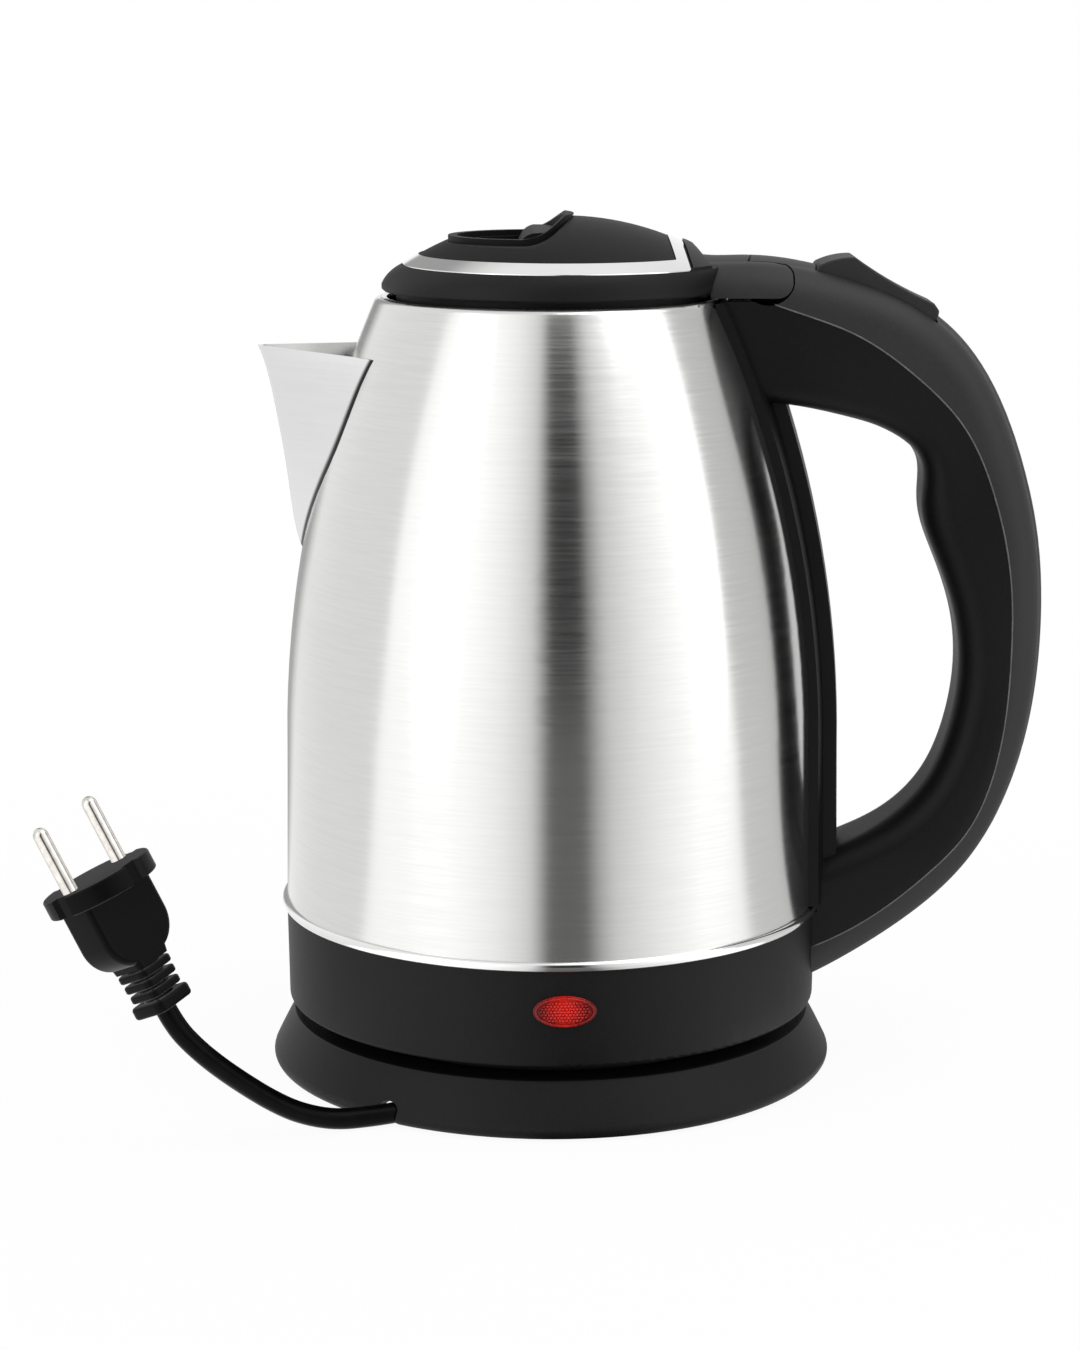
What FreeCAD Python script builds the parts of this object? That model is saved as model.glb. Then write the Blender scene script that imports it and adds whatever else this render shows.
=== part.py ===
import FreeCAD, Part
import math
import os

V = FreeCAD.Vector
AXIS_Z = V(0, 0, 1)
ORIGIN = V(0, 0, 0)

# Driving dimensions, millimetres. The jug's axis is Z, +X points to the handle, the floor is z = 0.
bead_radius = 75.0
bead_bottom, bead_top = 45.0, 47.8
wall = 0.8
wall_foot_radius, wall_waist_radius, waist_height = 73.8, 73.1, 90.6
dome_curve_radius = 305.7
shoulder_height, mouth_radius, mouth_height = 212.0, 44.6, 213.2

skirt_bottom, skirt_bottom_radius, skirt_wall = 18.9, 73.4, 2.2
deck_height, deck_wall, tower_top = 14.4, 2.0, 24.0
rest_gap = 0.3
base_top, base_top_radius, base_foot_radius, base_edge = 15.0, 72.2, 77.6, 0.8

plate_bottom, plate_top, plate_radius = 8.9, 10.5, 71.6
hub_radius, hub_wall, hub_bottom = 18.0, 2.0, 1.6
foot_circle, foot_radius, foot_height, foot_angles = 64.0, 5.6, 2.4, (15, 105, 195, 285)
base_screw_circle, base_screw_angles = 58.0, (60, 180, 300)

slot_inner, slot_outer, slot_floor, socket_top, socket_radius = 9.2, 13.2, 12.0, 26.0, 19.7
bore_radius = 3.4

cord_diameter = 5.6
cord_section = math.pi * cord_diameter ** 2 / 4
winding_height, winding_start_radius, winding_pitch, winding_half_turns = 5.9, 36.0, 6.4, 4
winding_exit_angle, exit_bend, winding_tail = 285.0, 8.0, 14.0
lead_route = [(-26.0, -56.4, 5.0), (-38.0, -61.4, 3.4), (-47.5, -65.1, 3.0), (-57.0, -67.9, 3.0),
              (-65.8, -71.4, 6.0), (-72.6, -75.2, 10.7), (-79.0, -79.2, 16.4), (-85.0, -83.4, 22.4),
              (-90.6, -86.9, 28.6), (-95.8, -88.9, 35.2)]
plug_axis = V(-0.446, 0.04, 0.894)
plug_axis.normalize()
lead_start_run, lead_end_run = 8.0, 6.0
boot_length, plug_body_length, plug_flange_depth, plug_flange_radius = 12.5, 20.4, 5.2, 14.8
plug_half_width, plug_half_depth, notch_width, notch_depth = 12.0, 5.6, 5.0, 2.3
pin_radius, pin_length, pin_spacing, plug_turn = 2.0, 18.0, 19.0, 54.0

lid_bottom, rim_radius, chrome_outer, chrome_inner = 214.9, 45.9, 43.2, 38.9
rim_gap, chrome_depth, dome_foot, dome_wall, lid_screw_circle = 0.25, 2.0, 221.0, 2.4, 37.2
chrome_outer_height, chrome_back, dome_back, back_bow, band_corner = 221.8, 35.2, 31.2, 214.0, 3.0
dome_radius, dome_apex_x, dome_apex = 79.0, 3.0, 234.6
deck_of_well, well_floor, bezel_rise, bezel_width = 228.0, 217.0, 1.6, 2.4
slope_foot_x, ridge_x, ridge_height, ridge_top = -3.0, 6.0, 235.2, 235.4
well_centre, well_radius = -5.4, 22.5
hinge_x, hinge_z, hinge_pin_radius, hinge_end_radius = 57.5, 219.0, 1.5, 6.6
hinge_pin_half, arm_bottom = 13.0, 213.9
tongue_half_width, hinge_gap = 8.6, 0.4

grip_wall, strip_half_width, strip_flange, strip_rise, strip_core = 2.4, 21.5, 2.5, 6.0, 12.5
rocker_x, rocker_z, rocker_half_width, rocker_gap = 87.0, 212.6, 9.0, 0.4
rocker_head_radius, rocker_tail_radius = 18.0, 17.2
lamp_height, lamp_angle, lens_width, lens_height = 34.5, -87.4, 16.5, 8.4


def outline(start, *steps):
    """Closed wire in the XZ plane: each step is a point, or a (through, end) pair for an arc."""
    edges, here = [], V(start[0], 0, start[1])
    first = here
    for step in steps:
        if isinstance(step[0], tuple):
            through, there = (V(x, 0, z) for x, z in step)
            edges.append(Part.Arc(here, through, there).toShape())
        else:
            there = V(step[0], 0, step[1])
            edges.append(Part.LineSegment(here, there).toShape())
        here = there
    if here.distanceToPoint(first) > 1e-6:
        edges.append(Part.LineSegment(here, first).toShape())
    return Part.Wire(edges)


def turned(wire, degrees=360, start=0):
    solid = Part.Face(wire).revolve(ORIGIN, AXIS_Z, degrees)
    if start:
        solid.rotate(ORIGIN, AXIS_Z, start)
    return solid


def slab(wire, half_width):
    face = Part.Face(wire)
    face.translate(V(0, -half_width, 0))
    return face.extrude(V(0, 2 * half_width, 0))


def box(x0, x1, y0, y1, z0, z1):
    return Part.makeBox(x1 - x0, y1 - y0, z1 - z0, V(x0, y0, z0))


def rod(radius, bottom, top, x=0.0, y=0.0):
    return Part.makeCylinder(radius, top - bottom, V(x, y, bottom))


def polar(radius, degrees, z=0.0):
    a = math.radians(degrees)
    return V(radius * math.cos(a), radius * math.sin(a), z)


def around(circle, angles, shape):
    """Copies of a shape made at the origin, set on a circle about Z."""
    copies = []
    for angle in angles:
        copy = shape.copy()
        copy.translate(polar(circle, angle))
        copies.append(copy)
    return copies


def body_radius(z):
    if z <= waist_height:
        share = (z - bead_bottom) / (waist_height - bead_bottom)
        return wall_foot_radius + (wall_waist_radius - wall_foot_radius) * share
    rise = z - waist_height
    return wall_waist_radius - dome_curve_radius + math.sqrt(dome_curve_radius ** 2 - rise ** 2)


def save(name, shape):
    if shape.ShapeType == "Compound" and len(shape.Solids) == 1:
        shape = shape.Solids[0]
    shape.exportStep("parts/" + name + ".step")
    print(name, len(shape.Solids), "valid" if shape.isValid() else "INVALID", round(shape.Volume, 1))


# Jug shell
def jug_block(grow=0.0):
    """The jug's outer form as one solid, for cutting what is fitted against it."""
    mid = (waist_height + shoulder_height) / 2
    return turned(outline((0, skirt_bottom), (skirt_bottom_radius + grow, skirt_bottom),
                          (wall_foot_radius + grow, bead_bottom), (bead_radius + grow, bead_bottom),
                          (bead_radius + grow, bead_top), (body_radius(bead_top) + grow, bead_top),
                          (wall_waist_radius + grow, waist_height),
                          ((body_radius(mid) + grow, mid),
                           (body_radius(shoulder_height) + grow, shoulder_height)),
                          (mouth_radius, mouth_height), (0, mouth_height)))


def steel_body():
    mid = (waist_height + shoulder_height) / 2
    top = body_radius(shoulder_height)
    shell = turned(outline((wall_foot_radius, bead_bottom), (wall_waist_radius, waist_height),
                           ((body_radius(mid), mid), (top, shoulder_height)),
                           ((top - 0.9, mouth_height - 0.2), (top - 2.2, mouth_height)),
                           (mouth_radius, mouth_height), (mouth_radius, mouth_height - wall),
                           (top - 2.3, mouth_height - wall), (top - 1.3, shoulder_height - 1.6),
                           ((body_radius(mid) - wall, mid), (wall_waist_radius - wall, waist_height)),
                           (wall_foot_radius - wall, bead_bottom)))
    half, top_z, low_z = 19.0, 194.0, 153.0
    window = Part.Wire([Part.LineSegment(V(-95, -half, top_z), V(-95, half, top_z)).toShape(),
                        Part.Arc(V(-95, half, top_z), V(-95, 12.5, 172), V(-95, 2.5, low_z)).toShape(),
                        Part.LineSegment(V(-95, 2.5, low_z), V(-95, -2.5, low_z)).toShape(),
                        Part.Arc(V(-95, -2.5, low_z), V(-95, -12.5, 172), V(-95, -half, top_z)).toShape()])
    return shell.cut(Part.Face(window).extrude(V(60, 0, 0)))


spout_sheet, spout_lip = 0.9, 201.0
spout_stations = [(141.0, 66.6, 62.0, 1.0), (150.0, 70.2, 62.0, 1.6), (163.0, 72.1, 59.0, 2.2),
                  (178.0, 74.5, 51.0, 2.8), (190.0, 76.6, 43.5, 3.2), (206.0, 80.6, 36.5, 3.6)]


def spout_section(z, nose_x, half_angle, nose_radius, inset):
    """V-shaped plan section of the spout with a rounded nose, closed inside the jug."""
    a = math.radians(half_angle)
    tip_x = -nose_x + inset / math.sin(a)
    radius = max(nose_radius - inset, 0.3)
    centre_x = tip_x + radius / math.sin(a)
    touch = V(centre_x - radius * math.sin(a), radius * math.cos(a), z)
    back_x = -38.0
    back = V(back_x, touch.y + (back_x - touch.x) * math.tan(a), z)
    nose = V(centre_x - radius, 0, z)

    def mirror(p):
        return V(p.x, -p.y, p.z)
    return Part.Wire([Part.LineSegment(back, touch).toShape(),
                      Part.Arc(touch, nose, mirror(touch)).toShape(),
                      Part.LineSegment(mirror(touch), mirror(back)).toShape(),
                      Part.LineSegment(mirror(back), back).toShape()])


def spout():
    skins = []
    for inset in (0.0, spout_sheet):
        sections = [spout_section(z, x, angle, r, inset) for z, x, angle, r in spout_stations]
        skins.append(Part.makeLoft(sections, True, False))
    lip = slab(outline((-95, spout_lip - 0.1), (-30, spout_lip - 3.6), (-30, 215), (-95, 215)), 60)
    sheet = skins[0].cut(skins[1]).cut(lip).cut(jug_block())
    return max(sheet.Solids, key=lambda s: s.Volume)


def bead_ring():
    inner = body_radius(bead_bottom)
    r = 0.7
    return turned(outline((inner, bead_bottom), (bead_radius - r, bead_bottom),
                          ((bead_radius - 0.2, bead_bottom + 0.2), (bead_radius, bead_bottom + r)),
                          (bead_radius, bead_top - r),
                          ((bead_radius - 0.2, bead_top - 0.2), (bead_radius - r, bead_top)),
                          (body_radius(bead_top), bead_top)))


# Heater stack under the water
floor_bottom, floor_top = 48.2, 49.0
spreader_radius, spreader_bottom = 48.0, 45.0
element_ring, element_radius = 38.0, 3.5
coupler_radius, coupler_bottom, nose_inner, nose_outer, nose_bottom = 21.0, 28.0, 9.7, 12.7, 17.0


def kettle_floor():
    return rod(body_radius(floor_top) - wall - 0.02, floor_bottom, floor_top)


def heat_spreader():
    return rod(spreader_radius, spreader_bottom, floor_bottom)


def heating_element():
    z = spreader_bottom - element_radius
    ring = Part.makeTorus(element_ring, element_radius, V(0, 0, z), AXIS_Z, -180, 180, 300)
    ring.rotate(ORIGIN, AXIS_Z, 30)
    ends = []
    for angle, way in ((30, -1), (330, 1)):
        ends.append(Part.makeCylinder(2.2, 12.0, polar(element_ring, angle, z), polar(way, angle + 90)))
    return ring.fuse(ends).removeSplitter()


def coupler():
    flange = turned(outline((0, coupler_bottom), (nose_inner, coupler_bottom), (nose_inner, nose_bottom),
                            (nose_outer, nose_bottom), (nose_outer, coupler_bottom),
                            (coupler_radius, coupler_bottom), (coupler_radius, spreader_bottom),
                            (0, spreader_bottom)))
    pin = rod(bore_radius - 0.6, nose_bottom + 1.0, coupler_bottom)
    window = box(14.0, 30.0, -4.0, 4.0, coupler_bottom + 6, spreader_bottom - 4)
    return flange.fuse(pin).cut(window).removeSplitter()


def dry_boil_discs():
    """Two bimetal cut-out discs against the sides of the coupler's body."""
    plates = []
    for side in (-1, 1):
        plate = Part.makeCylinder(7.0, 1.2, V(0, side * coupler_radius, 37.0), V(0, side, 0))
        plates.append(plate.cut(rod(coupler_radius, coupler_bottom, spreader_bottom)))
    return Part.makeCompound(plates)


# Lower casing of the jug
cover_top, cover_bottom, rest_ring = 22.6, 20.6, (58.0, 62.0)
cover_hole, cover_screw_circle, cover_screw_angles = 24.5, 40.0, (0, 120, 240)
lens_back = skirt_bottom_radius - 1.9
lamp_seat = lens_back - 11.6


def lens_shape(width, height, depth_in, depth_out):
    """Pillow-ended oval set square to the skirt at the lamp's bearing."""
    mid_r = skirt_bottom_radius + 0.2
    face = Part.Face(Part.Wire(Part.Ellipse(ORIGIN, width / 2, height / 2).toShape()))
    solid = face.extrude(V(0, 0, depth_in + depth_out))
    solid.translate(V(0, 0, -depth_out))
    solid.rotate(ORIGIN, V(1, 0, 0), -90)
    solid.translate(V(0, -mid_r, 0))
    solid.rotate(ORIGIN, AXIS_Z, lamp_angle + 90)
    solid.translate(V(0, 0, lamp_height))
    return solid


def bottom_skirt():
    inner_top = wall_foot_radius - skirt_wall - 1.0
    ring = turned(outline((skirt_bottom_radius - 1.2, skirt_bottom),
                          ((skirt_bottom_radius - 0.35, skirt_bottom + 0.35),
                           (skirt_bottom_radius, skirt_bottom + 1.2)),
                          (wall_foot_radius, bead_bottom), (inner_top, bead_bottom),
                          (inner_top, bead_bottom - 3.0),
                          (skirt_bottom_radius - skirt_wall, bead_bottom - 6.0),
                          (skirt_bottom_radius - skirt_wall, skirt_bottom)))
    return ring.cut(lens_shape(lens_width, lens_height, 8.0, 3.0))


def bottom_cover():
    outer = skirt_bottom_radius - skirt_wall
    plate = turned(outline((cover_hole, cover_bottom), (rest_ring[0], cover_bottom),
                           (rest_ring[0], deck_height + rest_gap), (rest_ring[1], deck_height + rest_gap),
                           (rest_ring[1], cover_bottom), (outer, cover_bottom), (outer, cover_top),
                           (cover_hole + 2.0, cover_top), (cover_hole + 2.0, coupler_bottom),
                           (cover_hole, coupler_bottom)))
    post = rod(4.0, cover_top, spreader_bottom - 2 * element_radius - 1.0)
    posts = around(cover_screw_circle, cover_screw_angles, post)
    holes = around(cover_screw_circle, cover_screw_angles, rod(1.6, cover_bottom - 1, cover_top + 8))
    stand = rod(2.6, cover_top, lamp_height - 3.2, *polar(lamp_seat - 3.0, lamp_angle)[:2])
    return plate.fuse(posts + [stand]).cut(holes).removeSplitter()


def screw(head_radius, head_depth, shaft_radius, shaft_length, seat):
    """Pan-head screw pointing up, its head's bearing face at height seat."""
    head = Part.makeCylinder(head_radius, head_depth, V(0, 0, seat - head_depth))
    crown = Part.makeSphere(head_radius * 1.6, V(0, 0, seat - head_depth * 0.4 + head_radius * 1.1))
    reach, low, high = head_radius * 0.6, seat - head_depth - 1, seat - head_depth * 0.45
    slot_a = box(-reach, reach, -0.35, 0.35, low, high)
    slot_b = box(-0.35, 0.35, -reach, reach, low, high)
    shaft = Part.makeCylinder(shaft_radius, shaft_length, V(0, 0, seat))
    return head.common(crown).cut(slot_a).cut(slot_b).fuse(shaft).removeSplitter()


def cover_screws():
    pan_head = screw(3.0, 1.8, 1.6, 9.0, cover_bottom)
    return Part.makeCompound(around(cover_screw_circle, cover_screw_angles, pan_head))


def indicator_lens():
    oval = lens_shape(lens_width, lens_height, 3.0, 1.2)
    return oval.common(rod(skirt_bottom_radius + 0.9, 25, 44)).cut(rod(lens_back, 25, 44))


def indicator_lamp():
    bulb = Part.makeCylinder(2.6, 9.0).fuse(Part.makeSphere(2.6, V(0, 0, 9.0)))
    holder = box(-4.5, 4.5, -3.2, 3.2, -6.0, 0.0)
    lamp = bulb.fuse(holder)
    lamp.rotate(ORIGIN, V(1, 0, 0), 90)
    lamp.translate(V(0, -lamp_seat, 0))
    lamp.rotate(ORIGIN, AXIS_Z, lamp_angle + 90)
    lamp.translate(V(0, 0, lamp_height))
    return lamp.removeSplitter()


# Power base
def cord_gland_line():
    """Centre, direction and reach of the cord where it leaves the hub."""
    centre = polar(-winding_pitch / 4, winding_exit_angle, winding_height)
    straight_end = math.sqrt((winding_start_radius - exit_bend) ** 2 - exit_bend ** 2)
    swing = math.degrees(math.asin(exit_bend / (winding_start_radius - exit_bend)))
    return centre, winding_exit_angle + swing, straight_end - cord_diameter, straight_end


def cord_gland():
    centre, angle, face, _ = cord_gland_line()
    out = polar(1, angle)
    return Part.makeCone(3.6, 3.3, face - hub_radius + 1.0, centre + out * (hub_radius - 1.0), out)


def winding_path():
    centre, angle, face, straight_end = cord_gland_line()
    out, right = polar(1, angle), polar(1, angle - 90)
    start, bend = centre + out * face, centre + out * straight_end
    bend_centre = bend + right * exit_bend
    edges = [Part.LineSegment(start, bend).toShape()]
    unit = polar(1, winding_exit_angle)
    side = polar(1, winding_exit_angle - 90)
    first = centre + unit * winding_start_radius
    turn_in = (bend - bend_centre) + (first - bend_centre)
    turn_in.normalize()
    edges.append(Part.Arc(bend, bend_centre + turn_in * exit_bend, first).toShape())
    sign, radius = 1, winding_start_radius
    for half in range(winding_half_turns):
        mid = polar(winding_pitch / 4 * (-1 if half % 2 == 0 else 1), winding_exit_angle, winding_height)
        here, there = mid + unit * sign * radius, mid - unit * sign * radius
        edges.append(Part.Arc(here, mid + side * sign * radius, there).toShape())
        sign, radius, end = -sign, radius + winding_pitch / 2, there
    edges.append(Part.LineSegment(end, end + side * winding_tail).toShape())
    return Part.Wire(edges), end + side * winding_tail, side


def tube(path, point, direction):
    profile = Part.Wire(Part.Circle(point, direction, cord_diameter / 2).toShape())
    return path.makePipeShell([profile], True, False)


def power_cord_winding():
    path, _, _ = winding_path()
    start = path.Edges[0].Vertexes[0].Point
    coil = tube(path, start, path.Edges[0].Vertexes[1].Point - start)
    points, gap = [], 1e9
    for edge in path.Edges:
        points += edge.discretize(Distance=2.0)[:-1]
    for i, p in enumerate(points):
        for j in range(i + 12, len(points)):
            gap = min(gap, p.distanceToPoint(points[j]) - cord_diameter)
    print("winding length", round(path.Length, 1), "least gap to itself", round(gap, 2))
    print("winding volume / section x length", round(coil.Volume / (cord_section * path.Length), 4))
    return coil


def rounded_path(points):
    """Straight runs joined by the largest tangent arcs that the runs allow."""
    edges, here, radii = [], points[0], []
    for before, corner, after in zip(points, points[1:], points[2:]):
        a, b = corner - before, after - corner
        turn = a.getAngle(b)
        cut = 0.45 * min(a.Length, b.Length)
        a.normalize()
        b.normalize()
        radius = cut / math.tan(turn / 2)
        radii.append(round(radius, 1))
        enter, leave = corner - a * cut, corner + b * cut
        inward = (b - a)
        inward.normalize()
        middle = corner + inward * (math.hypot(cut, radius) - radius)
        edges.append(Part.LineSegment(here, enter).toShape())
        edges.append(Part.Arc(enter, middle, leave).toShape())
        here = leave
    edges.append(Part.LineSegment(here, points[-1]).toShape())
    return Part.Wire(edges), radii


def lead_points():
    _, start, heading = winding_path()
    route = [start, start + heading * lead_start_run] + [V(*p) for p in lead_route]
    return route + [route[-1] + plug_axis * lead_end_run]


def power_cord_lead():
    points = lead_points()
    path, radii = rounded_path(points)
    lead = tube(path, points[0], points[1] - points[0])
    print("lead length", round(path.Length, 1), "bend radii", radii)
    print("lead volume / section x length", round(lead.Volume / (cord_section * path.Length), 4))
    return lead


def base_shell():
    tower = socket_radius + 0.3
    shell = turned(outline((tower, deck_height - deck_wall), (tower, tower_top - 0.6),
                           (tower + 0.6, tower_top), (tower + 1.6, tower_top),
                           (tower + 2.2, tower_top - 0.6), (tower + 2.2, deck_height),
                           (base_top_radius - 1.9, deck_height), (base_top_radius - 1.3, base_top),
                           (base_top_radius - 0.4, base_top),
                           ((base_top_radius - 0.1, base_top - 0.1), (base_top_radius, base_top - 0.4)),
                           ((75.0, 9.4), (base_foot_radius, 4.1)),
                           ((base_foot_radius + 0.3, 2.2), (base_foot_radius - 0.8, base_edge)),
                           (base_foot_radius - 3.0, base_edge), (base_foot_radius - 2.3, 4.0),
                           (base_top_radius, deck_height - 3.2),
                           (base_top_radius - 1.6, deck_height - deck_wall)))
    inside, outside = lead_points()[3:5]
    heading = outside - inside
    slit = Part.makeCylinder(cord_diameter / 2 + 0.6, 2 * heading.Length, inside - heading * 0.6, heading)
    below = slit.copy()
    below.translate(V(0, 0, -4.0))
    return shell.cut(slit).cut(below)


def base_plate():
    plate = turned(outline((0, hub_bottom), (hub_radius, hub_bottom), (hub_radius, plate_bottom),
                           (plate_radius, plate_bottom), (plate_radius, plate_top),
                           (plate_radius - 1.0, plate_top), (plate_radius - 1.0, deck_height - deck_wall),
                           (plate_radius - 3.0, deck_height - deck_wall), (plate_radius - 3.0, plate_top),
                           (hub_radius - hub_wall, plate_top), (hub_radius - hub_wall, hub_bottom + 1.6),
                           (0, hub_bottom + 1.6)))
    feet = around(foot_circle, foot_angles, rod(foot_radius + 1.5, 1.2, plate_bottom))
    bosses = around(base_screw_circle, base_screw_angles, rod(4.0, plate_top, deck_height - deck_wall))
    hook = outline((53.0, plate_bottom), (55.4, plate_bottom), (55.4, 1.4), (44.6, 1.4), (44.6, 2.6),
                   (53.0, 2.6))
    hooks = [turned(hook, 16, angle) for angle in (40, 130, 205)]
    plate = plate.fuse(feet + bosses + hooks)
    pads = around(foot_circle, foot_angles, rod(foot_radius, 0, foot_height))
    holes = around(base_screw_circle, base_screw_angles, rod(1.6, 5, 20))
    return plate.cut(pads + holes + [cord_gland()]).removeSplitter()


def base_feet():
    pad = rod(foot_radius, 0.6, foot_height).fuse(Part.makeCone(foot_radius - 0.6, foot_radius, 0.6))
    return Part.makeCompound(around(foot_circle, foot_angles, pad.removeSplitter()))


def base_screws():
    pan_head = screw(3.0, 1.8, 1.6, deck_height - deck_wall - plate_bottom, plate_bottom)
    return Part.makeCompound(around(base_screw_circle, base_screw_angles, pan_head))


def base_socket():
    return turned(outline((0, 4.6), (15.0, 4.6), (15.0, plate_top), (24.0, plate_top),
                          (24.0, deck_height - deck_wall), (socket_radius, deck_height - deck_wall),
                          (socket_radius, socket_top - 0.8), (socket_radius - 0.8, socket_top),
                          (slot_outer, socket_top), (slot_outer, slot_floor), (slot_inner, slot_floor),
                          (slot_inner, socket_top), (bore_radius, socket_top), (bore_radius, slot_floor),
                          (0, slot_floor)))


def socket_contacts():
    """Three terminal tags on the socket's underside, inside the hub."""
    tags = [Part.makeBox(3.2, 0.8, 1.2, V(8.0, -0.4, 3.4)) for _ in range(3)]
    for index, tag in enumerate(tags):
        tag.rotate(ORIGIN, AXIS_Z, 60 + 120 * index)
    return Part.makeCompound(tags)


def socket_shutter():
    return turned(outline((slot_inner + 0.35, slot_floor + 0.35), (slot_outer - 0.35, slot_floor + 0.35),
                          (slot_outer - 0.35, nose_bottom - 0.8), (slot_outer - 0.9, nose_bottom - 0.35),
                          (slot_inner + 0.9, nose_bottom - 0.35), (slot_inner + 0.35, nose_bottom - 0.8)))


# Mains plug, made standing on Z and then laid along its axis
def placed_plug(shape):
    shape.rotate(ORIGIN, AXIS_Z, plug_turn)
    turn = FreeCAD.Rotation(AXIS_Z, plug_axis)
    shape.Placement = FreeCAD.Placement(lead_points()[-1], turn).multiply(shape.Placement)
    return shape


def plug_boot():
    def rib(half_x, half_y, corner, z, thick, edge):
        plate = Part.Face(soft_square(half_x, half_y, corner, z)).extrude(V(0, 0, thick))
        return plate.makeFillet(edge, [e for e in plate.Edges if e.BoundBox.ZLength < 0.01])
    ribs = [rib(6.5, 6.1, 2.8, 0.0, 3.2, 0.9)]
    for row in range(3):
        ribs.append(rib(5.6 + 0.15 * row, 5.3 + 0.15 * row, 2.3, 4.1 + 2.9 * row, 2.0, 0.5))
    return placed_plug(Part.makeCone(3.9, 4.8, boot_length).fuse(ribs).removeSplitter())


def soft_square(half_x, half_y, corner, z):
    """Rounded rectangle in a plane of constant z."""
    arcs, edges = [], []
    for sx, sy, angle in [(1, 1, 0), (-1, 1, 90), (-1, -1, 180), (1, -1, 270)]:
        centre = V(sx * (half_x - corner), sy * (half_y - corner), z)
        arcs.append(Part.Arc(*(centre + polar(corner, angle + step) for step in (0, 45, 90))))
    for arc, following in zip(arcs, arcs[1:] + arcs[:1]):
        edges.append(arc.toShape())
        edges.append(Part.LineSegment(arc.EndPoint, following.StartPoint).toShape())
    return Part.Wire(edges)


def plug_body():
    neck, shoulder = boot_length, boot_length + plug_body_length
    w, bend = plug_half_width, neck + 10.0
    stem = slab(outline((-5.6, neck), (5.6, neck), (6.0, neck + 1.6), ((10.0, neck + 4.4), (w, bend)),
                        (w, shoulder + 1), (-w, shoulder + 1), (-w, bend),
                        ((-10.0, neck + 4.4), (-6.0, neck + 1.6))), plug_half_depth)
    rims = [e for e in stem.Edges if abs(abs(e.CenterOfMass.y) - plug_half_depth) < 0.01]
    stem = stem.makeFillet(1.8, [e for e in rims if neck + 0.5 < e.CenterOfMass.z < shoulder])
    flange = Part.makeCylinder(plug_flange_radius, plug_flange_depth, V(0, 0, shoulder))
    flange = flange.makeFillet(0.6, flange.Edges)
    notch = box(plug_flange_radius - notch_depth, 20, -notch_width / 2, notch_width / 2, shoulder - 1,
                shoulder + plug_flange_depth + 1)
    for quarter in range(4):
        flange = flange.cut(notch)
        notch.rotate(ORIGIN, AXIS_Z, 90)
    pins = [rod(pin_radius, shoulder + 2.0, shoulder + 20, side * pin_spacing / 2) for side in (-1, 1)]
    return placed_plug(stem.fuse(flange).cut(pins).removeSplitter())


def plug_pins():
    root = boot_length + plug_body_length + 2.0
    tip = root - 2.0 + plug_flange_depth + pin_length
    pins = []
    for side in (-1, 1):
        x = side * pin_spacing / 2
        nose = Part.makeSphere(pin_radius, V(x, 0, tip - pin_radius))
        pins.append(rod(pin_radius, root, tip - pin_radius, x).fuse(nose).removeSplitter())
    return placed_plug(Part.makeCompound(pins))


# Lid
def dome_ball(grow=0.0):
    return Part.makeSphere(dome_radius + grow, V(dome_apex_x, 0, dome_apex - dome_radius))


def d_prism(radius, back, z0, z1, corner=0.0):
    """Upright prism about the dome's axis, its plan a circle with a slightly hollow back."""
    plan = rod(radius, z0, z1, dome_apex_x).cut(rod(back_bow, z0 - 1, z1 + 1, back + back_bow))
    if corner:
        upright = [e for e in plan.Edges if e.BoundBox.ZLength > z1 - z0 - 0.01 and abs(e.CenterOfMass.y) > 5]
        plan = plan.makeFillet(corner, upright)
    return plan


def above_well(grow=0.0):
    """What is cut away above the flat of the finger well and the slope behind it."""
    back = grow * 0.4
    return slab(outline((-60, deck_of_well + grow), (slope_foot_x - 5.0 - back, deck_of_well + grow),
                        ((slope_foot_x - 0.28 - back, deck_of_well + 0.8 + grow),
                         (slope_foot_x + 3.9 - back, deck_of_well + 3.12 + grow)),
                        (ridge_x - back, ridge_height + grow), (ridge_x + 2, ridge_height + 6),
                        (-60, 246)), 50)


def well_plan(inset, z0, z1):
    """Plan of the finger well: half round at the front, a shallow bow at the back."""
    r = well_radius - inset
    back_x, side_x = ridge_x - inset * 1.2, slope_foot_x - inset * 0.4
    side_y = math.sqrt(r ** 2 - (side_x - well_centre) ** 2)
    front = Part.Arc(V(side_x, -side_y, z0), V(well_centre - r, 0, z0), V(side_x, side_y, z0)).toShape()
    back = Part.Arc(V(side_x, side_y, z0), V(back_x, 0, z0), V(side_x, -side_y, z0)).toShape()
    plan = Part.Face(Part.Wire([front, back])).extrude(V(0, 0, z1 - z0))
    return plan.makeFillet(8.0 - inset, [e for e in plan.Edges if e.BoundBox.ZLength > z1 - z0 - 0.01])


def lid_dome():
    shell = dome_ball().common(d_prism(chrome_inner - 0.15, dome_back - 0.15, dome_foot, 240, band_corner / 2))
    inside = d_prism(chrome_inner - dome_wall, dome_back - dome_wall, 200, 240)
    shell = shell.cut(dome_ball(-dome_wall).common(inside))
    return shell.cut(above_well()).cut(well_plan(bezel_width - 0.6, 200, 250))


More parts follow.
